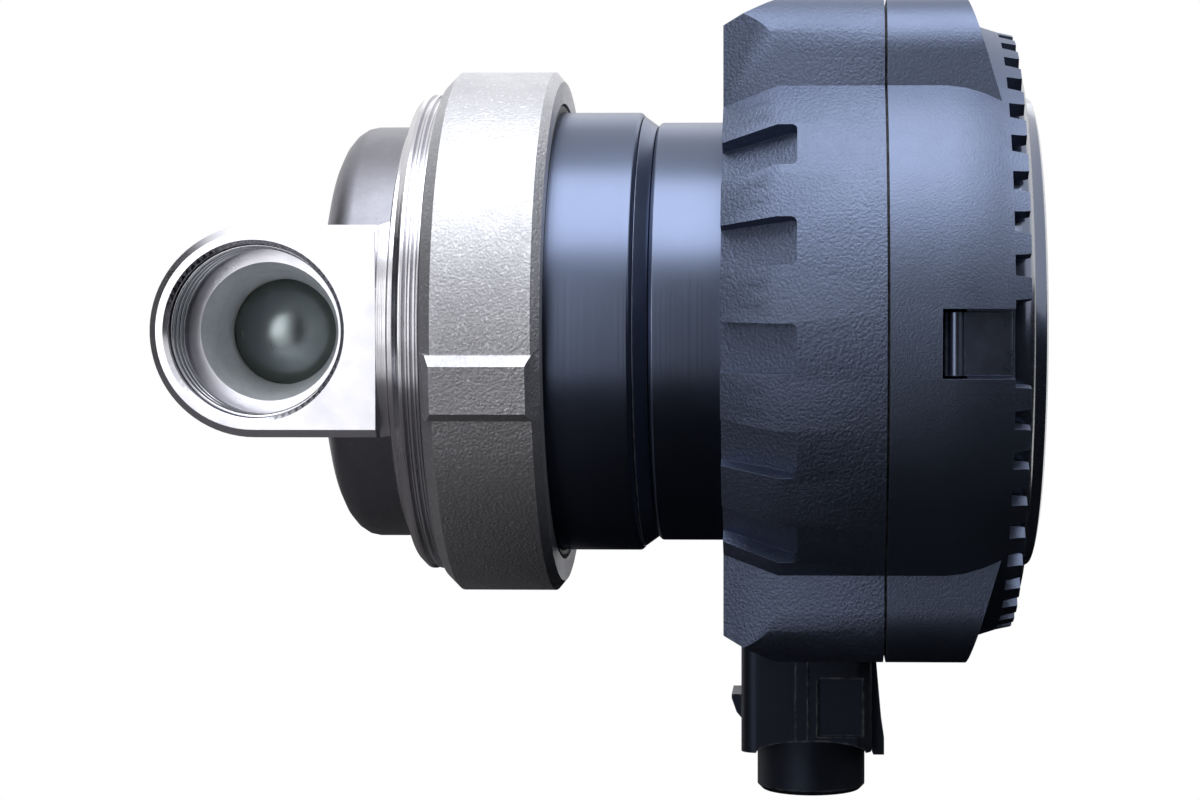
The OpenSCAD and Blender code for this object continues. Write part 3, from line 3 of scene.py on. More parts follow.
import json
import logging
import math
from collections.abc import Callable
from dataclasses import dataclass, field
from enum import Enum, IntEnum

import bmesh
import bpy
import numpy as np
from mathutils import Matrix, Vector

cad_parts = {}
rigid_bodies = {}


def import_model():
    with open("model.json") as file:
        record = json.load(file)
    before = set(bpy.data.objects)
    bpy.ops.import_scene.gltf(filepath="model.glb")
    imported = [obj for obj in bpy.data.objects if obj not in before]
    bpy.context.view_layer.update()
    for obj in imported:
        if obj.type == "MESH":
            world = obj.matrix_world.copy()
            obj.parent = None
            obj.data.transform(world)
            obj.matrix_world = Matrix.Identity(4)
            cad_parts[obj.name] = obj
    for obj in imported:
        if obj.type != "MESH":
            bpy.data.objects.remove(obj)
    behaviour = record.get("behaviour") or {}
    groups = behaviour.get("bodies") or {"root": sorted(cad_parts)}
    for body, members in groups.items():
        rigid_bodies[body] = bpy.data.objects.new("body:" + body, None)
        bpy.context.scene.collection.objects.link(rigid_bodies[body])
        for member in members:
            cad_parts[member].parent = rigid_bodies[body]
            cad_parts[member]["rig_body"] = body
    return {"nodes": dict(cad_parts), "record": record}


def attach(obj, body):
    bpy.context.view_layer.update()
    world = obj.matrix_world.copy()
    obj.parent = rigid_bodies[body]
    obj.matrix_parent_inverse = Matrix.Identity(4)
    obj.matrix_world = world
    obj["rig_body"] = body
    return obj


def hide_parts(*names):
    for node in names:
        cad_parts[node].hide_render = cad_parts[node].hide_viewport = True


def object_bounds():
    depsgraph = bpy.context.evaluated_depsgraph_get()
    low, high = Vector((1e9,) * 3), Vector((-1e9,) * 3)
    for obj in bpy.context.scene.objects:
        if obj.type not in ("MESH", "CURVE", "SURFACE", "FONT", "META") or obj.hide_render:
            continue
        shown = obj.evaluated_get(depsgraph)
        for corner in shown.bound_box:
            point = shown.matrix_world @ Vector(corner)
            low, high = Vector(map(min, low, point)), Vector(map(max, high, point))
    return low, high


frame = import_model()
cad_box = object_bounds()

log = logging.getLogger("valve")
MM = 0.001
Colour = tuple[float, float, float]
Place = tuple[float, float, float]
HOUSING = "valve_and_head"
DUST_COLOUR: Colour = (0.42, 0.40, 0.37)


# ---------------------------------------------------------------- node writing


class Tree:
    """Writes nodes and links into the tree of a material or a group."""

    def __init__(self, tree: bpy.types.NodeTree) -> None:
        """Keeps the tree that the nodes go into."""
        self.tree = tree

    def node(self, kind: str, feeds: dict | None = None, **settings: object) -> bpy.types.Node:
        """Adds one node.

        Args:
            kind: Blender's name for the node's type.
            feeds: socket name or number to a plain value or another socket.
            settings: attributes to set on the node before it is fed.

        Returns:
            The new node.
        """
        made = self.tree.nodes.new(kind)
        for name, value in settings.items():
            setattr(made, name, value)
        for name, value in (feeds or {}).items():
            socket = made.inputs[name]
            if isinstance(value, bpy.types.NodeSocket):
                self.tree.links.new(value, socket)
            else:
                socket.default_value = value
        return made

    def maths(self, operation: str, *values: object, clamp: bool = False) -> bpy.types.NodeSocket:
        """Works one sum out and returns its socket."""
        feeds = dict(enumerate(values))
        return self.node("ShaderNodeMath", feeds, operation=operation, use_clamp=clamp).outputs[0]

    def vector(self, operation: str, *values: object, out: str = "Vector") -> bpy.types.NodeSocket:
        """Works one vector sum out and returns the socket named by out."""
        feeds = dict(enumerate(values))
        return self.node("ShaderNodeVectorMath", feeds, operation=operation).outputs[out]

    def mix(self, factor: object, low: object, high: object) -> bpy.types.NodeSocket:
        """Blends two colours by a factor and returns the blend."""
        made = self.node("ShaderNodeMix", data_type="RGBA", clamp_factor=True)
        for place, value in ((0, factor), (6, low), (7, high)):
            socket = made.inputs[place]
            if isinstance(value, bpy.types.NodeSocket):
                self.tree.links.new(value, socket)
            else:
                socket.default_value = (*value, 1.0) if place else value
        return made.outputs[2]

    def span(self, value: object, low: float, high: float, start: float = 0.0, end: float = 1.0,
             smooth: bool = False) -> bpy.types.NodeSocket:
        """Maps a value from one span to another.

        Args:
            value: the socket to map.
            low: value that becomes start.
            high: value that becomes end.
            start: lowest result.
            end: highest result.
            smooth: True for a soft start and end.

        Returns:
            The mapped value, held inside the new span.
        """
        feeds = {"Value": value, "From Min": low, "From Max": high, "To Min": start, "To Max": end}
        kind = "SMOOTHSTEP" if smooth else "LINEAR"
        return self.node("ShaderNodeMapRange", feeds, interpolation_type=kind).outputs["Result"]

    def sized(self, place: object, size: object) -> bpy.types.NodeSocket:
        """Divides a place by a size, so that the size becomes one unit."""
        scaled = self.vector("SCALE", place)
        self.tree.links.new(self.maths("DIVIDE", 1.0, size), scaled.node.inputs["Scale"])
        return scaled

    def noise(self, place: object, scale: float, detail: float = 2.0, rough: float = 0.5,
              distort: float = 0.0) -> bpy.types.NodeSocket:
        """Adds a noise texture and returns its value."""
        feeds = {"Vector": place, "Scale": scale, "Detail": detail, "Roughness": rough,
                 "Distortion": distort}
        return self.node("ShaderNodeTexNoise", feeds).outputs[0]

    def cells(self, place: object, scale: float, random: float = 1.0) -> bpy.types.NodeSocket:
        """Adds a cell texture and returns the distance to the nearest cell's middle."""
        feeds = {"Vector": place, "Scale": scale, "Randomness": random}
        return self.node("ShaderNodeTexVoronoi", feeds).outputs["Distance"]


# --------------------------------------------------------------- shared effects


class Effect:
    """A shader node group that is built once and placed in many materials."""

    title: str = ""
    takes: dict[str, tuple[str, object]] = {}
    gives: dict[str, str] = {}
    _made: dict[str, bpy.types.NodeTree] = {}

    def write(self, tree: Tree, inputs: dict) -> dict:
        """Writes the group's own nodes; each effect has its own."""
        raise NotImplementedError

    def group(self) -> bpy.types.NodeTree:
        """Returns the node group, which is made at the first call.

        Returns:
            The group, with the named inputs and outputs.
        """
        if self.title in Effect._made:
            return Effect._made[self.title]
        made = bpy.data.node_groups.new(self.title, "ShaderNodeTree")
        for name, (kind, default) in self.takes.items():
            socket = made.interface.new_socket(name, in_out="INPUT", socket_type=kind)
            if default is not None:
                socket.default_value = default
        for name, kind in self.gives.items():
            made.interface.new_socket(name, in_out="OUTPUT", socket_type=kind)
        tree = Tree(made)
        entry = tree.node("NodeGroupInput")
        results = self.write(tree, {name: entry.outputs[name] for name in self.takes})
        tree.node("NodeGroupOutput", results)
        Effect._made[self.title] = made
        return made

    def place(self, tree: Tree, **feeds: object) -> dict:
        """Places the effect in a material.

        Args:
            tree: the material's tree.
            feeds: input names, with _ for a space, to values or sockets.

        Returns:
            Output name to socket.
        """
        made = tree.node("ShaderNodeGroup", node_tree=self.group())
        for name, value in feeds.items():
            socket = made.inputs[name.replace("_", " ")]
            if isinstance(value, bpy.types.NodeSocket):
                tree.tree.links.new(value, socket)
            else:
                socket.default_value = value
        return {name: made.outputs[name] for name in self.gives}


FLOAT = "NodeSocketFloat"
VECTOR = "NodeSocketVector"


class Grain(Effect):
    """Pebbled grain of a moulded or blasted skin: cells of the given size, broken up by noise, with
    painted glints on the highest grains.
    """

    title = "Grain"
    takes = {"Place": (VECTOR, None), "Size": (FLOAT, 0.0004), "Sparkle": (FLOAT, 0.7)}
    gives = {"Height": FLOAT, "Specks": FLOAT}
    cell_share = 0.4
    noise_share = 0.8

    def write(self, tree: Tree, inputs: dict) -> dict:
        """Height is low between cells; the glints, a painted highlight, mark the highest grains alone.
        """
        scaled = tree.sized(inputs["Place"], inputs["Size"])
        pebbles = tree.maths("SUBTRACT", 1.0, tree.cells(scaled, 1.0))
        fine = tree.noise(scaled, 1.3, 4.0, 0.7)
        height = tree.maths("ADD", tree.maths("MULTIPLY", pebbles, self.cell_share),
                            tree.maths("MULTIPLY", fine, self.noise_share))
        # Painted glints: a mask of the highest grains, whose colour is later made lighter as if light
        # caught them.
        painted_glints = tree.span(tree.noise(scaled, 1.1, 1.0), 0.6, 0.72)
        bright = tree.maths("MULTIPLY", painted_glints, inputs["Sparkle"])
        return {"Height": height, "Specks": bright}


class Turned(Effect):
    """Tool lines of a turned surface: noise that changes along one axis and with the radius."""

    title = "Turned lines"
    takes = {"Place": (VECTOR, None), "Pitch": (FLOAT, 0.00035)}
    gives = {"Height": FLOAT, "Bands": FLOAT}
    broad_scale = 0.17
    line_share = 0.7
    broad_share = 0.5

    def write(self, tree: Tree, inputs: dict) -> dict:
        """Place holds the distance along the axis in X and the radius in Y."""
        parts = tree.node("ShaderNodeSeparateXYZ", {0: inputs["Place"]})
        along = tree.maths("ADD", parts.outputs[0], parts.outputs[1])
        step = tree.maths("DIVIDE", along, inputs["Pitch"])
        line = tree.node("ShaderNodeTexNoise", {"W": step, "Scale": 1.0, "Detail": 2.0},
                         noise_dimensions="1D").outputs[0]
        broad = tree.node("ShaderNodeTexNoise", {"W": step, "Scale": self.broad_scale, "Detail": 1.0},
                          noise_dimensions="1D").outputs[0]
        # Bands mark where a painted sheen lightens the colour of a turned skin.
        return {"Height": tree.maths("ADD", tree.maths("MULTIPLY", line, self.line_share),
                                     tree.maths("MULTIPLY", broad, self.broad_share)),
                "Bands": tree.span(broad, 0.35, 0.65)}


class Mottle(Effect):
    """Slow change of tone over a piece, with a finer change inside it."""

    title = "Mottle"
    takes = {"Place": (VECTOR, None), "Size": (FLOAT, 0.02)}
    gives = {"Tone": FLOAT}
    slow_share = 0.7

    def write(self, tree: Tree, inputs: dict) -> dict:
        """Two noises of different size are added."""
        scaled = tree.sized(inputs["Place"], inputs["Size"])
        slow = tree.noise(scaled, 1.0, 3.0, 0.55)
        quick = tree.noise(scaled, 9.0, 4.0, 0.6)
        both = tree.maths("ADD", tree.maths("MULTIPLY", slow, self.slow_share),
                          tree.maths("MULTIPLY", quick, 1.0 - self.slow_share))
        return {"Tone": tree.span(both, 0.34, 0.66)}


class EdgeWear(Effect):
    """Mask of the edges, where handling rubs a finish: the rounded normal leaves the plain one."""

    title = "Edge wear"
    takes = {"Place": (VECTOR, None), "Radius": (FLOAT, 0.0004), "Amount": (FLOAT, 1.0)}
    gives = {"Mask": FLOAT}
    patch_scale = 900.0

    def write(self, tree: Tree, inputs: dict) -> dict:
        """The angle between the two normals, broken up by noise."""
        rounded = tree.node("ShaderNodeBevel", {"Radius": inputs["Radius"]}, samples=4)
        plain = tree.node("ShaderNodeNewGeometry").outputs["Normal"]
        bend = tree.maths("SUBTRACT", 1.0, tree.vector("DOT_PRODUCT", rounded.outputs[0], plain,
                                                       out="Value"))
        broken = tree.span(tree.noise(inputs["Place"], self.patch_scale, 4.0, 0.65), 0.38, 0.62)
        mask = tree.maths("MULTIPLY", tree.span(bend, 0.015, 0.2), broken)
        return {"Mask": tree.maths("MULTIPLY", mask, inputs["Amount"], clamp=True)}


class Dust(Effect):
    """Thin dust: small flecks, more of them on what points up."""

    title = "Dust"
    takes = {"Place": (VECTOR, None), "Up": (VECTOR, None), "Amount": (FLOAT, 0.2)}
    gives = {"Mask": FLOAT}
    fleck_scale = 2600.0
    cloud_scale = 120.0
    cloud_share = 0.25

    def write(self, tree: Tree, inputs: dict) -> dict:
        """Flecks and clouds, times a share that grows with the upward part of the normal."""
        upward = tree.span(tree.node("ShaderNodeSeparateXYZ", {0: inputs["Up"]}).outputs[2],
                           -0.2, 0.9, 0.35, 1.0)
        flecks = tree.span(tree.noise(inputs["Place"], self.fleck_scale, 3.0, 0.7), 0.66, 0.8)
        clouds = tree.span(tree.noise(inputs["Place"], self.cloud_scale, 4.0, 0.6), 0.4, 0.75)
        both = tree.maths("ADD", flecks, tree.maths("MULTIPLY", clouds, self.cloud_share))
        share = tree.maths("MULTIPLY", both, upward)
        return {"Mask": tree.maths("MULTIPLY", share, inputs["Amount"], clamp=True)}


GRAIN, TURNED, MOTTLE, WEAR, DUST = Grain(), Turned(), Mottle(), EdgeWear(), Dust()


# --------------------------------------------------------------------- finishes


class Skin(Enum):
    """How a surface was made, which sets its fine relief."""

    GRAINED = "grained"
    TURNED_MAIN = "turned about the main axis"
    TURNED_PORT = "turned about the pipe axis"
    MILLED = "milled flat"
    SMOOTH = "smooth"
    STACKED = "stacked sheets along the main axis"


@dataclass(frozen=True)
class Finish:
    """One procedural surface finish.

    The colours are linear. Sizes are in metres. Each pair of roughness values is the
    smoothest and the roughest of the surface. The two places are where the turning axes
    cross the other two coordinates.
    """

    name: str
    colour: Colour
    second: Colour
    rough: tuple[float, float] = (0.35, 0.5)
    metallic: float = 0.0
    skin: Skin = Skin.SMOOTH
    relief: float = 0.00003
    grain: float = 0.0004
    mottle: float = 0.02
    # sparkle and sparkle_colour paint glints: a lighter colour on the highest grains and on bands of a
    # turned skin, in place of light catching them.
    sparkle: float = 0.0
    sparkle_colour: Colour = (0.9, 0.9, 0.95)
    wear: float = 0.3
    wear_radius: float = 0.0004
    wear_colour: Colour = (0.5, 0.5, 0.5)
    dust: float = 0.05
    specular: float = 0.5
    tint: Colour = (1.0, 1.0, 1.0)
    ior: float = 1.5
    coat: float = 0.0
    coat_rough: float = 0.1
    stretch: float = 0.0
    pipe_place: tuple[float, float] = (0.0, 0.0)
    main_place: tuple[float, float] = (0.026, 0.0)
    tone_share: float = 0.6
    dust_rough: float = 0.25
    comb: Place = (1.0, 1.0, 14.0)

    def _radial(self, tree: Tree, place: object) -> bpy.types.NodeSocket:
        """Returns distance along the turning axis and radius from it, as a vector.

        Args:
            tree: the material's tree.
            place: the point on the piece.

        Returns:
            A vector whose X is the distance along and whose Y is the radius.
        """
        parts = tree.node("ShaderNodeSeparateXYZ", {0: place}).outputs
        if self.skin is Skin.TURNED_PORT:
            along, one, two, centre = parts[1], parts[0], parts[2], self.pipe_place
        else:
            along, one, two, centre = parts[0], parts[1], parts[2], self.main_place
        a = tree.maths("SUBTRACT", one, centre[0])
        b = tree.maths("SUBTRACT", two, centre[1])
        radius = tree.maths("SQRT", tree.maths("ADD", tree.maths("MULTIPLY", a, a),
                                               tree.maths("MULTIPLY", b, b)))
        return tree.node("ShaderNodeCombineXYZ", {0: along, 1: radius, 2: 0.0}).outputs[0]

    def relief_of(self, tree: Tree, place: object) -> tuple:
        """Writes the fine relief.

        Args:
            tree: the material's tree.
            place: the point on the piece.

        Returns:
            The relief's height, and a mask of painted glints: lighter spots on grain, lighter bands on
            turned skins.
        """
        if self.skin is Skin.GRAINED:
            made = GRAIN.place(tree, Place=place, Size=self.grain, Sparkle=self.sparkle)
            return made["Height"], made["Specks"]
        if self.skin in (Skin.TURNED_MAIN, Skin.TURNED_PORT, Skin.STACKED):
            made = TURNED.place(tree, Place=self._radial(tree, place), Pitch=self.grain)
            # Lighter bands along the tool lines: a painted sheen.
            return made["Height"], tree.maths("MULTIPLY", made["Bands"], self.sparkle)
        if self.skin is Skin.MILLED:
            combed = tree.vector("MULTIPLY", place, self.comb)
            made = GRAIN.place(tree, Place=combed, Size=self.grain, Sparkle=self.sparkle)
            return made["Height"], made["Specks"]
        made = MOTTLE.place(tree, Place=place, Size=self.grain)
        return made["Tone"], tree.maths("MULTIPLY", made["Tone"], self.sparkle)

    def material(self) -> bpy.types.Material:
        """Builds the material.

        Returns:
            A material with colour, gloss and relief that all change over the surface.
        """
        made = bpy.data.materials.new(self.name)
        made.use_nodes = True
        made.node_tree.nodes.clear()
        tree = Tree(made.node_tree)
        coordinates = tree.node("ShaderNodeTexCoord").outputs
        place, up = coordinates["Object"], coordinates["Normal"]
        tone = MOTTLE.place(tree, Place=place, Size=self.mottle)["Tone"]
        height, painted_glints = self.relief_of(tree, place)
        worn = WEAR.place(tree, Place=place, Radius=self.wear_radius, Amount=self.wear)["Mask"]
        dusty = DUST.place(tree, Place=place, Up=up, Amount=self.dust)["Mask"]
        colour = tree.mix(tone, self.colour, self.second)
        # Painted glints and sheen: the sparkle colour goes where light would catch the grain or the tool
        # lines.
        colour = tree.mix(painted_glints, colour, self.sparkle_colour)
        colour = tree.mix(worn, colour, self.wear_colour)
        colour = tree.mix(dusty, colour, DUST_COLOUR)
        uneven = tree.maths("ADD", tree.maths("MULTIPLY", tone, self.tone_share),
                            tree.maths("MULTIPLY", height, 1.0 - self.tone_share))
        rough = tree.span(uneven, 0.1, 0.9, *self.rough)
        rough = tree.maths("ADD", rough, tree.maths("MULTIPLY", dusty, self.dust_rough), clamp=True)
        bump = tree.node("ShaderNodeBump", {"Height": height, "Distance": self.relief,
                                            "Strength": 1.0})
        shader = tree.node("ShaderNodeBsdfPrincipled", {
            "Base Color": colour, "Roughness": rough, "Metallic": self.metallic,
            "Normal": bump.outputs[0], "Specular IOR Level": self.specular, "IOR": self.ior,
            "Specular Tint": (*self.tint, 1.0), "Coat Weight": self.coat,
            "Coat Roughness": self.coat_rough, "Anisotropic": self.stretch})
        tree.node("ShaderNodeOutputMaterial", {"Surface": shader.outputs[0]})
        return made


# Painted reflection colour: the plastics' reflections are tinted sky blue in the material itself,
# standing in for the colour of the light.
PAINTED_SKY_TINT = (0.52, 0.63, 0.95)
PLASTIC = dict(specular=1.0, ior=2.0, tint=PAINTED_SKY_TINT, dust=0.02)
STEEL = dict(metallic=1.0, wear_colour=(0.85, 0.85, 0.88))

FINISHES: dict[str, Finish] = {
    "machined_steel": Finish("machined_steel", (0.78, 0.78, 0.83), (0.68, 0.68, 0.75), (0.22, 0.38),
                             skin=Skin.MILLED, relief=0.000004, grain=0.0006, **STEEL),
    "blasted_steel": Finish("blasted_steel", (0.56, 0.56, 0.59), (0.45, 0.45, 0.48), (0.40, 0.58),
                            skin=Skin.GRAINED, relief=0.0001, grain=0.0004, sparkle=0.5, **STEEL),
    # Painted shade: this polished steel's dark grey-green colour darkens the ball, which sits deep in
    # the port.
    "polished_steel": Finish("polished_steel", (0.30, 0.34, 0.35), (0.24, 0.28, 0.29), (0.26, 0.34),
                             skin=Skin.SMOOTH, relief=0.000001, grain=0.003, **STEEL),
    "turned_steel": Finish("turned_steel", (0.62, 0.62, 0.65), (0.5, 0.5, 0.53), (0.2, 0.34),
                           skin=Skin.TURNED_MAIN, relief=0.000006, grain=0.0003, **STEEL),
    "seat_plastic": Finish("seat_plastic", (0.82, 0.80, 0.74), (0.74, 0.72, 0.66), (0.3, 0.42),
                           relief=0.000004),
    "seal_rubber": Finish("seal_rubber", (0.006, 0.006, 0.008), (0.010, 0.010, 0.013), (0.45, 0.62),
                          relief=0.000008, grain=0.0008, specular=0.4, dust=0.02),
    "gland_brass": Finish("gland_brass", (0.72, 0.50, 0.22), (0.60, 0.40, 0.17), (0.22, 0.36),
                          metallic=1.0, skin=Skin.TURNED_MAIN, relief=0.000005, grain=0.0003),
    "gear_brass": Finish("gear_brass", (0.74, 0.53, 0.25), (0.62, 0.43, 0.19), (0.2, 0.34),
                         metallic=1.0, relief=0.000003, grain=0.001),
    "bush_bronze": Finish("bush_bronze", (0.52, 0.31, 0.15), (0.40, 0.23, 0.11), (0.34, 0.5),
                          metallic=1.0, skin=Skin.GRAINED, relief=0.000006, grain=0.0003),
    "neck_black": Finish("neck_black", (0.002, 0.003, 0.005), (0.003, 0.004, 0.007), (0.26, 0.33),
                         skin=Skin.TURNED_MAIN, relief=0.000006, grain=0.0005, **PLASTIC),
    "shell_black": Finish("shell_black", (0.003, 0.004, 0.006), (0.005, 0.006, 0.009), (0.40, 0.52),
                          skin=Skin.GRAINED, relief=0.0001, grain=0.0004, sparkle=0.4,
                          sparkle_colour=(0.05, 0.06, 0.09), wear_colour=(0.07, 0.09, 0.13),
                          **PLASTIC),
    "cover_black": Finish("cover_black", (0.010, 0.012, 0.018), (0.015, 0.018, 0.026), (0.20, 0.30),
                          skin=Skin.GRAINED, relief=0.000005, grain=0.0003, coat=1.0,
                          wear_colour=(0.09, 0.11, 0.16), **PLASTIC),
    "latch_black": Finish("latch_black", (0.006, 0.006, 0.008), (0.010, 0.010, 0.012), (0.24, 0.34),
                          relief=0.000002, grain=0.002, **PLASTIC),
    "connector_black": Finish("connector_black", (0.004, 0.005, 0.007), (0.007, 0.008, 0.011),
                              (0.36, 0.5), skin=Skin.GRAINED, relief=0.000012, grain=0.0003,
                              specular=0.6, tint=PAINTED_SKY_TINT, dust=0.02),
    "inner_plastic": Finish("inner_plastic", (0.05, 0.05, 0.055), (0.07, 0.07, 0.075), (0.4, 0.52),
                            skin=Skin.GRAINED, relief=0.00001, grain=0.0004),
    "gear_plastic": Finish("gear_plastic", (0.70, 0.68, 0.60), (0.62, 0.60, 0.52), (0.36, 0.46),
                           relief=0.000006, grain=0.002),
    "gear_steel": Finish("gear_steel", (0.50, 0.50, 0.52), (0.40, 0.40, 0.42), (0.26, 0.4),
                         relief=0.000004, grain=0.001, **STEEL),
    "plate_aluminium": Finish("plate_aluminium", (0.74, 0.75, 0.77), (0.66, 0.67, 0.69), (0.28, 0.4),
                              skin=Skin.TURNED_MAIN, relief=0.000005, grain=0.0004, metallic=1.0),
    "can_steel": Finish("can_steel", (0.55, 0.56, 0.58), (0.46, 0.47, 0.49), (0.24, 0.38),
                        skin=Skin.TURNED_MAIN, relief=0.000003, grain=0.0005, **STEEL),
    "lamination_steel": Finish("lamination_steel", (0.33, 0.33, 0.35), (0.22, 0.22, 0.24),
                               (0.36, 0.5), skin=Skin.STACKED, relief=0.00002, grain=0.0005, **STEEL),
    "coil_copper": Finish("coil_copper", (0.62, 0.25, 0.11), (0.46, 0.17, 0.07), (0.2, 0.34),
                          metallic=1.0, skin=Skin.STACKED, relief=0.00005, grain=0.0004),
    "magnet_dark": Finish("magnet_dark", (0.06, 0.06, 0.065), (0.09, 0.09, 0.095), (0.3, 0.44),
                          metallic=0.6, skin=Skin.GRAINED, relief=0.000004, grain=0.0003),
    "contact_gold": Finish("contact_gold", (0.86, 0.62, 0.24), (0.76, 0.52, 0.19), (0.14, 0.26),
                           metallic=1.0, relief=0.000001, grain=0.001),
    "board_green": Finish("board_green", (0.010, 0.085, 0.035), (0.014, 0.11, 0.05), (0.26, 0.38),
                          skin=Skin.SMOOTH, relief=0.000006, grain=0.0012),
    "chip_black": Finish("chip_black", (0.016, 0.016, 0.017), (0.026, 0.026, 0.028), (0.42, 0.56),
                         skin=Skin.GRAINED, relief=0.000004, grain=0.00015),
    "capacitor_metal": Finish("capacitor_metal", (0.62, 0.62, 0.64), (0.52, 0.52, 0.54), (0.2, 0.3),
                              relief=0.000002, grain=0.002, **STEEL),
    "screw_steel": Finish("screw_steel", (0.42, 0.42, 0.43), (0.32, 0.32, 0.33), (0.24, 0.38),
                          skin=Skin.TURNED_MAIN, relief=0.000003, grain=0.0003, **STEEL),
    # A finer skin for the rear shell, whose slot is shell_black.
    "shell_fine": Finish("shell_fine", (0.003, 0.004, 0.005), (0.005, 0.006, 0.008), (0.40, 0.50),
                         skin=Skin.GRAINED, relief=0.00004, grain=0.0003, sparkle=0.15,
                         sparkle_colour=(0.05, 0.06, 0.09), wear_colour=(0.07, 0.09, 0.13),
                         **PLASTIC),
    # Zones of the valve body, whose slot is machined_steel.
    "cast_steel": Finish("cast_steel", (0.24, 0.24, 0.27), (0.19, 0.19, 0.22), (0.36, 0.48),
                         skin=Skin.GRAINED, relief=0.000012, grain=0.0004, sparkle=0.04, **STEEL),
    "ring_steel": Finish("ring_steel", (0.62, 0.62, 0.66), (0.48, 0.47, 0.50), (0.14, 0.3),
                         skin=Skin.TURNED_MAIN, relief=0.00003, grain=0.0004, sparkle=0.3,
                         stretch=0.5, **STEEL),
    "port_steel": Finish("port_steel", (0.70, 0.70, 0.74), (0.60, 0.60, 0.64), (0.12, 0.24),
                         skin=Skin.TURNED_PORT, relief=0.000008, grain=0.00025, sparkle=0.2, **STEEL),
    # Painted sheen: a near-white, barely metallic colour puts the countersink's bright sheen into the
    # material; its lighter bands are painted sheen too.
    "cone_painted_sheen": Finish("cone_painted_sheen", (0.92, 0.95, 0.97), (0.62, 0.66, 0.68), (0.3, 0.45),
                         metallic=0.15, skin=Skin.TURNED_PORT, relief=0.00002, grain=0.0005,
                         mottle=0.006, sparkle=0.4, wear=0.0),
    # Painted shade: the bore, deep in the port, gets a dark grey-green colour.
    "bore_painted_shade": Finish("bore_painted_shade", (0.20, 0.23, 0.24), (0.15, 0.17, 0.18), (0.24, 0.34),
                         skin=Skin.TURNED_PORT, relief=0.000005, grain=0.0004, **STEEL),
}


class Workshop:
    """Keeps one built material per finish and puts it on pieces."""

    def __init__(self) -> None:
        """Starts with no material built."""
        self.built: dict[str, bpy.types.Material] = {}

    def get(self, name: str) -> bpy.types.Material:
        """Returns the material of a finish, built at its first use."""
        if name not in self.built:
            self.built[name] = FINISHES[name].material()
        return self.built[name]

    def dress(self, obj: bpy.types.Object, *names: str) -> None:
        """Gives a piece these finishes, in the order of its material slots."""
        obj.data.materials.clear()
        for name in names:
            obj.data.materials.append(self.get(name))


shop = Workshop()


# ------------------------------------------------------------------- mesh tools


WELD = 0.002 * MM
FLAT_DEGREES = 0.6


def link_piece(name: str, mesh: bpy.types.Mesh, body: str) -> bpy.types.Object:
    """Makes an object of a finished mesh and seats it on a body.

    Args:
        name: the piece's name.
        mesh: its mesh, already in place.
        body: the CAD body that it moves with.

    Returns:
        The new object.
    """
    made = bpy.data.objects.new(name, mesh)
    bpy.context.scene.collection.objects.link(made)
    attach(made, body)
    return made


def eased_copy(node: str, edge: float, angle: float = 32.0, steps: int = 2,
               spared: Callable[[Vector], bool] | None = None) -> bpy.types.Object:
    """Copies a CAD node, merges its loose corners and eases its sharp edges.

    Args:
        node: name of the CAD node.
        edge: width of the eased edge, in metres.
        angle: an edge that bends more than this many degrees is eased.
        steps: facets across the eased edge.
        spared: tells of a point whether an edge there stays sharp.

    Returns:
        The new piece, which replaces the node.
    """
    source = frame["nodes"][node]
    mesh = source.data.copy()
    mesh.name = node + "_skin"
    if "custom_normal" in mesh.attributes:
        mesh.attributes.remove(mesh.attributes["custom_normal"])
    shape = bmesh.new()
    shape.from_mesh(mesh)
    bmesh.ops.remove_doubles(shape, verts=shape.verts, dist=WELD)
    bmesh.ops.dissolve_limit(shape, angle_limit=math.radians(FLAT_DEGREES), verts=shape.verts,
                             edges=shape.edges)
    weight = shape.edges.layers.float.new("bevel_weight_edge")
    for line in shape.edges:
        bent = line.calc_face_angle(0.0) > math.radians(angle)
        line[weight] = float(bent and not (spared and spared(line.verts[0].co)))
    shape.to_mesh(mesh)
    shape.free()
    mesh.shade_smooth()
    mesh.set_sharp_from_angle(angle=math.radians(angle))
    body = source["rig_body"]
    slot = next(p["material_slot"] for p in frame["record"]["subparts"] if p["node"] == node)
    made = link_piece(node + "_skin", mesh, body)
    if edge > 0:
        ease = made.modifiers.new("ease", "BEVEL")
        ease.width = edge
        ease.segments = steps
        ease.limit_method = "WEIGHT"
        ease.harden_normals = True
        ease.use_clamp_overlap = True
    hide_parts(node)
    shop.dress(made, slot)
    log.info("%s: eased copy, %d faces", node, len(mesh.polygons))
    return made


def surface(name: str, points: np.ndarray, wrap_u: bool = False, wrap_v: bool = False) -> bpy.types.Mesh:
    """Turns a grid of points into a mesh of four-sided faces.

    Args:
        name: the mesh's name.
        points: array of shape (u, v, 3), in metres.
        wrap_u: True to join the last row to the first.
        wrap_v: True to join the last column to the first.

    Returns:
        The mesh, shaded smooth.
    """
    rows, columns = points.shape[:2]
    number = np.arange(rows * columns).reshape(rows, columns)
    if wrap_u:
        number = np.vstack([number, number[:1]])
    if wrap_v:
        number = np.hstack([number, number[:, :1]])
    corners = np.stack([number[:-1, :-1], number[1:, :-1], number[1:, 1:], number[:-1, 1:]], axis=-1)
    mesh = bpy.data.meshes.new(name)
    mesh.from_pydata(points.reshape(-1, 3).tolist(), [], corners.reshape(-1, 4).tolist())
    mesh.shade_smooth()
    return mesh


# ---------------------------------------------------------------- sub-assemblies


class Zone(IntEnum):
    """Zones of the valve body, in the order of its material slots."""

    MACHINED = 0
    CUP = 1
    RING = 2
    PORT = 3
    BORE = 4
    CONE = 5


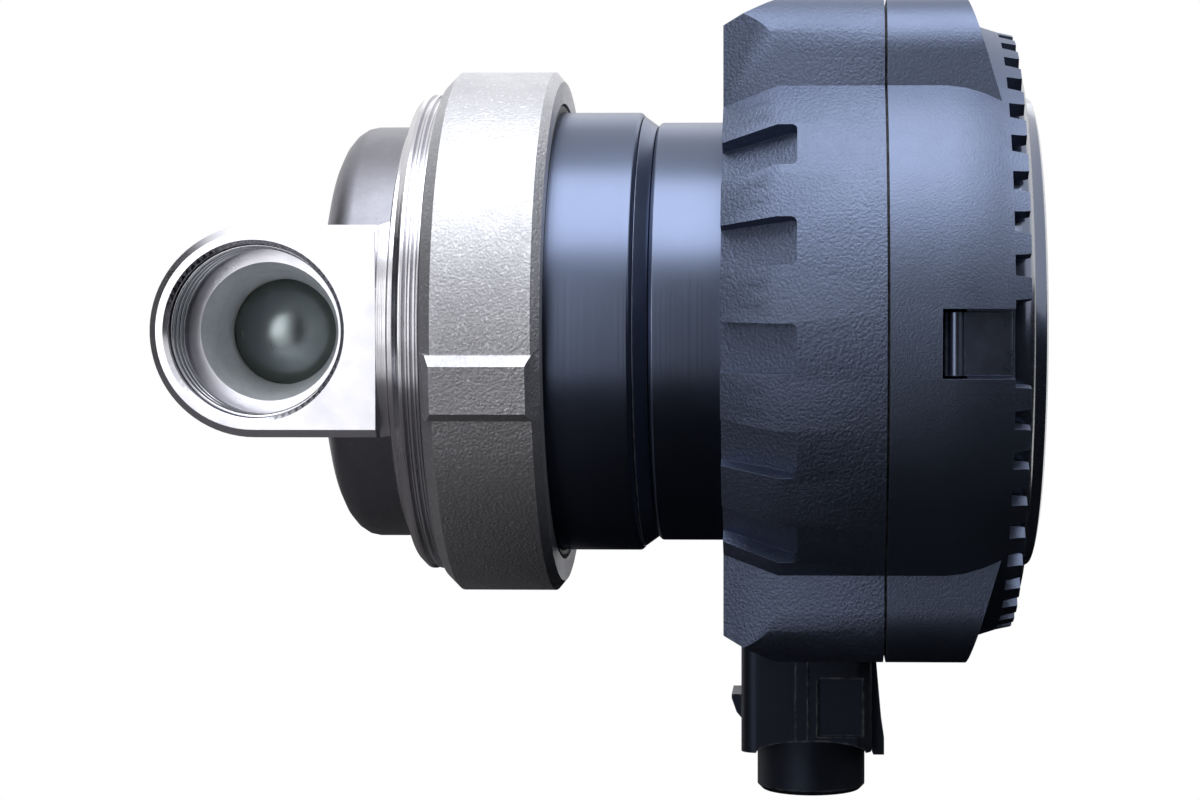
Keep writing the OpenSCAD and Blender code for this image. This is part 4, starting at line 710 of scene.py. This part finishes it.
@dataclass
class ValveBody:
    """Machined body: boss with its two threaded ports, cup and turned ring.

    Lengths along X and Y run from the front port's mouth. The shares widen or narrow a
    radius about the pipe axis, or a depth, so that the faces next to it count too or not.
    """

    port_span: float = 52.0 * MM
    port_r: float = 10.5 * MM
    port_depth: float = 9.1 * MM
    cone_r: float = 8.6 * MM
    cone_end: float = 17.3 * MM
    mouth_share: float = 1.06
    port_share: float = 1.03
    cone_share: float = 1.02
    bore_share: float = 0.8
    boss_reach: float = 11.0 * MM
    thread_pitch: float = 1.814 * MM
    thread_height: float = 0.5 * MM
    thread_start: float = 1.3 * MM
    thread_sink: float = 0.03 * MM
    ridge_half: float = 0.36
    ridge_points: int = 12
    fade_rate: float = 3.0
    fade_least: float = 0.02
    cup_x: float = 6.0 * MM
    ring_x: float = 16.2 * MM
    boss_half: float = 12.9 * MM
    boss_end: float = 14.85 * MM
    turn_segments: int = 200
    edge: float = 0.22 * MM

    def build(self) -> None:
        """Dresses the body's zones and cuts the look of threads into both ports."""
        body = eased_copy("valve_body", self.edge, spared=self.inside_port)
        shop.dress(body, "machined_steel", "cast_steel", "ring_steel", "port_steel", "bore_painted_shade",
                   "cone_painted_sheen")
        self.zone(body.data)
        self.thread("front_port_thread", 0.0, 1.0)
        self.thread("rear_port_thread", self.port_span, -1.0)

    def inside_port(self, point: Vector) -> bool:
        """Tells whether a point lies in a port, behind its mouth."""
        return math.hypot(point.x, point.z) < self.port_r * self.mouth_share

    def zone(self, mesh: bpy.types.Mesh) -> None:
        """Gives each face of the body the finish of its zone.

        A face's zone follows from its middle: the distance along the main axis, the height
        across it, the radius about the pipe axis and the depth behind the nearer mouth.

        Args:
            mesh: the body's mesh.
        """
        count = len(mesh.polygons)
        centre = np.empty(count * 3)
        normal = np.empty(count * 3)
        mesh.polygons.foreach_get("center", centre)
        mesh.polygons.foreach_get("normal", normal)
        centre, normal = centre.reshape(-1, 3), normal.reshape(-1, 3)
        along, across = centre[:, 0], np.abs(centre[:, 2])
        facing = np.abs(normal[:, 1])
        pipe = np.hypot(centre[:, 0], centre[:, 2])
        depth = np.minimum(centre[:, 1], self.port_span - centre[:, 1])
        zone = np.full(count, Zone.MACHINED, np.int32)
        zone[(along > self.cup_x) & (across > self.boss_half)] = Zone.CUP
        zone[along > np.where(across > self.boss_half, self.ring_x, self.boss_end)] = Zone.RING
        port = (pipe < self.port_r * self.port_share) & (along < self.boss_reach)
        zone[port & (facing < 0.98)] = Zone.PORT
        # The bore zone gets the painted shade finish, darker than the port's mouth.
        zone[(pipe < self.cone_r * self.bore_share) & (facing < 0.3)] = Zone.BORE
        # The countersink zone gets the painted sheen finish, a near-white colour.
        cone = (depth > self.port_depth * self.cone_share) & (depth < self.cone_end)
        zone[cone & (pipe < self.cone_r * self.cone_share) & (facing < 0.5)] = Zone.CONE
        mesh.polygons.foreach_set("material_index", zone)

    def thread(self, name: str, mouth: float, inward: float) -> None:
        """Builds one port's thread crest as a closed ridge.

        A rounded ridge is carried along a helix: the angle grows along the grid's rows, the
        ridge's own outline runs round its columns, and its height fades out at both ends.

        Args:
            name: the piece's name.
            mouth: where the port opens, along the pipe axis.
            inward: 1 or -1, the way into the port.
        """
        depth = self.port_depth - self.thread_start - 0.5 * self.thread_pitch
        turns = depth / self.thread_pitch
        rows = int(turns * self.turn_segments)
        along = np.linspace(0.0, 1.0, rows)[:, None]
        angle = 2 * math.pi * turns * along
        round_ = np.linspace(0.0, 2 * math.pi, self.ridge_points, endpoint=False)[None, :]
        fade = np.clip(np.minimum(along, 1 - along) * turns * self.fade_rate, self.fade_least, 1)
        lift = fade * self.thread_height
        radius = self.port_r - lift * 0.5 * (1 - np.cos(round_)) + self.thread_sink
        shift = self.ridge_half * self.thread_pitch * np.sin(round_) * (0.4 + 0.6 * fade)
        y = mouth + inward * (self.thread_start + depth * along + shift)
        points = np.stack([radius * np.cos(angle), y + 0 * radius, radius * np.sin(angle)], axis=-1)
        mesh = surface(name, points, wrap_v=True)
        shape = bmesh.new()
        shape.from_mesh(mesh)
        bmesh.ops.holes_fill(shape, edges=shape.edges)
        bmesh.ops.recalc_face_normals(shape, faces=shape.faces)
        shape.to_mesh(mesh)
        shape.free()
        piece = link_piece(name, mesh, HOUSING)
        shop.dress(piece, "port_steel")
        log.info("%s: thread ridge of %.1f turns", name, turns)


@dataclass
class OuterPieces:
    """Outer CAD nodes whose shape is right, with the width of their eased edges."""

    edges: dict[str, float] = field(default_factory=lambda: {
        "union_nut": 0.3 * MM, "dust_ring": 0.15 * MM, "neck_housing": 0.2 * MM,
        "neck_ring": 0.12 * MM, "front_shell": 0.3 * MM, "rear_shell": 0.3 * MM, "shell_seal": 0.0,
        "rear_cover": 0.25 * MM, "cover_latches": 0.25 * MM, "connector_shell": 0.2 * MM,
        "connector_seal": 0.2 * MM})
    finer: dict[str, str] = field(default_factory=lambda: {
        "rear_shell": "shell_fine", "neck_ring": "neck_black"})

    def build(self) -> None:
        """Makes an eased copy of each outer node, some with a finish of their own."""
        for node, edge in self.edges.items():
            piece = eased_copy(node, edge)
            if node in self.finer:
                shop.dress(piece, self.finer[node])


@dataclass
class InnerPieces:
    """CAD nodes that stay as they are and get their finish."""

    def build(self) -> None:
        """Dresses every CAD node with the finish of its slot."""
        for part in frame["record"]["subparts"]:
            shop.dress(frame["nodes"][part["node"]], part["material_slot"])


# ------------------------------------------------------------------------ stage


@dataclass(frozen=True)
class Lamp:
    """One soft area lamp."""

    name: str
    place: Place
    aim: Place
    size: tuple[float, float]
    power: float
    colour: Colour = (1.0, 1.0, 1.0)

    def build(self) -> None:
        """Hangs the lamp and points it at its aim."""
        lamp = bpy.data.lights.new(self.name, "AREA")
        lamp.shape = "RECTANGLE"
        lamp.size, lamp.size_y = self.size
        lamp.energy, lamp.color = self.power, self.colour
        made = bpy.data.objects.new(self.name, lamp)
        made.location = self.place
        way = Vector(self.aim) - Vector(self.place)
        made.rotation_euler = way.to_track_quat("-Z", "Y").to_euler()
        bpy.context.scene.collection.objects.link(made)


@dataclass(frozen=True)
class ShadeCard:
    """One dark card beside the set, which only reflections show: painted shade in what the object's
    underside and sides reflect.
    """

    name: str
    corner: Place
    along: Place
    rise: Place
    shade: Colour = (0.004, 0.004, 0.005)
    points: int = 12

    def build(self) -> None:
        """Hangs the card: each point is the corner, a share of the one side and of the other."""
        share = np.linspace(0.0, 1.0, self.points)
        one = share[:, None, None] * np.array(self.along)
        two = share[None, :, None] * np.array(self.rise)
        mesh = surface(self.name, np.array(self.corner) + one + two)
        made = bpy.data.objects.new(self.name, mesh)
        bpy.context.scene.collection.objects.link(made)
        # Neither the camera, nor diffuse light, nor shadows see the card: it only paints shade into
        # reflections.
        made.visible_camera = made.visible_diffuse = made.visible_shadow = False
        material = bpy.data.materials.new(self.name)
        material.use_nodes = True
        material.node_tree.nodes.clear()
        tree = Tree(material.node_tree)
        card = tree.node("ShaderNodeBsdfDiffuse", {"Color": (*self.shade, 1.0)})
        tree.node("ShaderNodeOutputMaterial", {"Surface": card.outputs[0]})
        mesh.materials.append(material)


@dataclass
class Studio:
    """Floor, backdrop, lamps and camera.

    The floor shows its own colour up to the near distance from the object's middle, and
    white from the far distance on.
    """

    floor_drop: float = 0.12
    floor_reach: float = 1.6
    floor_colour: Colour = (0.5, 0.5, 0.51)
    floor_rings: int = 24
    floor_turns: int = 72
    near: float = 0.3
    far: float = 0.55
    ambient: float = 0.25
    ambient_colour: Colour = (0.94, 0.96, 1.0)
    lens: float = 74.545
    sensor: float = 36.0
    camera_place: Place = (0.06749, -0.29655, -0.0007)
    yaw: float = 0.03242
    pitch: float = -0.01729
    shift: tuple[float, float] = (-0.112, -0.0167)
    lamps: tuple[Lamp, ...] = (
        Lamp("key", (0.05, -0.2, 0.48), (0.05, 0.02, 0.0), (0.6, 0.45), 2.9, (0.93, 0.96, 1.0)),
        Lamp("left", (-0.2, -0.5, 0.1), (0.0, 0.0, 0.0), (0.25, 0.35), 0.45),
        Lamp("back", (0.1, 0.75, 0.5), (0.05, 0.03, 0.0), (0.7, 0.4), 0.6),
    )
    # Cards of painted shade, seen only in reflections: dark below, in front and at both sides, and a
    # lighter grey one below on the left.
    shade_cards: tuple[ShadeCard, ...] = (
        ShadeCard("shade_card_below", (0.02, -0.45, -0.1), (0.48, 0.0, 0.0), (0.0, 1.1, 0.0)),
        ShadeCard("shade_card_beside", (-0.3, -0.2, -0.1), (0.32, 0.0, 0.0), (0.0, 0.85, 0.0), (0.15, 0.14, 0.14)),
        ShadeCard("shade_card_front", (0.0, -0.45, -0.1), (0.5, 0.0, 0.0), (0.0, 0.0, 0.4)),
        ShadeCard("shade_card_left", (-0.3, -0.45, -0.1), (0.0, 0.6, 0.0), (0.0, 0.0, 0.45)),
        ShadeCard("shade_card_right", (0.5, -0.45, -0.1), (0.0, 1.1, 0.0), (0.0, 0.0, 0.14)),
    )

    def build(self) -> None:
        """Builds the whole studio."""
        for piece in self.lamps + self.shade_cards:
            piece.build()
        self.world()
        self.floor()
        self.camera()

    @staticmethod
    def seen(tree: Tree) -> bpy.types.NodeSocket:
        """Returns 1 for rays that show the background: straight, mirrored or passed through."""
        path = tree.node("ShaderNodeLightPath").outputs
        both = tree.maths("MAXIMUM", path["Is Camera Ray"], path["Is Glossy Ray"])
        return tree.maths("MAXIMUM", both, path["Is Transmission Ray"])

    def world(self) -> None:
        """Makes a white surround that lights the object only a little."""
        world = bpy.data.worlds.new("surround")
        world.use_nodes = True
        world.node_tree.nodes.clear()
        tree = Tree(world.node_tree)
        white = tree.node("ShaderNodeBackground", {"Color": (1, 1, 1, 1), "Strength": 1.0})
        dim = tree.node("ShaderNodeBackground", {"Color": (*self.ambient_colour, 1.0),
                                                 "Strength": self.ambient})
        mixed = tree.node("ShaderNodeMixShader", {0: self.seen(tree), 1: dim.outputs[0],
                                                  2: white.outputs[0]})
        tree.node("ShaderNodeOutputWorld", {"Surface": mixed.outputs[0]})
        bpy.context.scene.world = world

    def floor(self) -> None:
        """Lays a pale floor that keeps the shadow near the object and turns white further off."""
        low, high = cad_box
        level = low.z - self.floor_drop
        centre = ((low.x + high.x) / 2, (low.y + high.y) / 2)
        ring = np.linspace(0.0, self.floor_reach, self.floor_rings)[:, None]
        turn = np.linspace(0.0, 2 * math.pi, self.floor_turns, endpoint=False)[None, :]
        points = np.stack([centre[0] + ring * np.cos(turn), centre[1] + ring * np.sin(turn),
                           level + 0 * ring * turn], axis=-1)
        mesh = surface("floor", points, wrap_v=True)
        made = bpy.data.objects.new("floor", mesh)
        bpy.context.scene.collection.objects.link(made)
        material = bpy.data.materials.new("floor_paper")
        material.use_nodes = True
        material.node_tree.nodes.clear()
        tree = Tree(material.node_tree)
        place = tree.node("ShaderNodeTexCoord").outputs["Object"]
        flat = tree.vector("MULTIPLY", tree.vector("SUBTRACT", place, (*centre, 0.0)), (1.0, 1.0, 0.0))
        distance = tree.vector("LENGTH", flat, out="Value")
        far = tree.span(distance, self.near, self.far, smooth=True)
        paper = tree.node("ShaderNodeBsdfDiffuse", {"Color": (*self.floor_colour, 1.0)})
        white = tree.node("ShaderNodeEmission", {"Color": (1, 1, 1, 1), "Strength": 1.0})
        share = tree.maths("MULTIPLY", far, self.seen(tree))
        mixed = tree.node("ShaderNodeMixShader", {0: share, 1: paper.outputs[0], 2: white.outputs[0]})
        tree.node("ShaderNodeOutputMaterial", {"Surface": mixed.outputs[0]})
        mesh.materials.append(material)

    def camera(self) -> None:
        """Sets the camera up, square to the main axis and beside the head."""
        data = bpy.data.cameras.new("camera")
        data.lens, data.sensor_width = self.lens, self.sensor
        data.shift_x, data.shift_y = self.shift
        data.clip_start, data.clip_end = 0.01, 50.0
        made = bpy.data.objects.new("camera", data)
        made.location = self.camera_place
        way = Vector((-math.sin(self.yaw) * math.cos(self.pitch),
                      math.cos(self.yaw) * math.cos(self.pitch), math.sin(self.pitch)))
        made.rotation_euler = way.to_track_quat("-Z", "Y").to_euler()
        bpy.context.scene.collection.objects.link(made)
        bpy.context.scene.camera = made


def main() -> None:
    logging.basicConfig(level=logging.INFO, format="%(name)s: %(message)s")
    bpy.context.scene.view_settings.view_transform = "Standard"
    InnerPieces().build()
    ValveBody().build()
    OuterPieces().build()
    Studio().build()


if __name__ == "__main__":
    main()
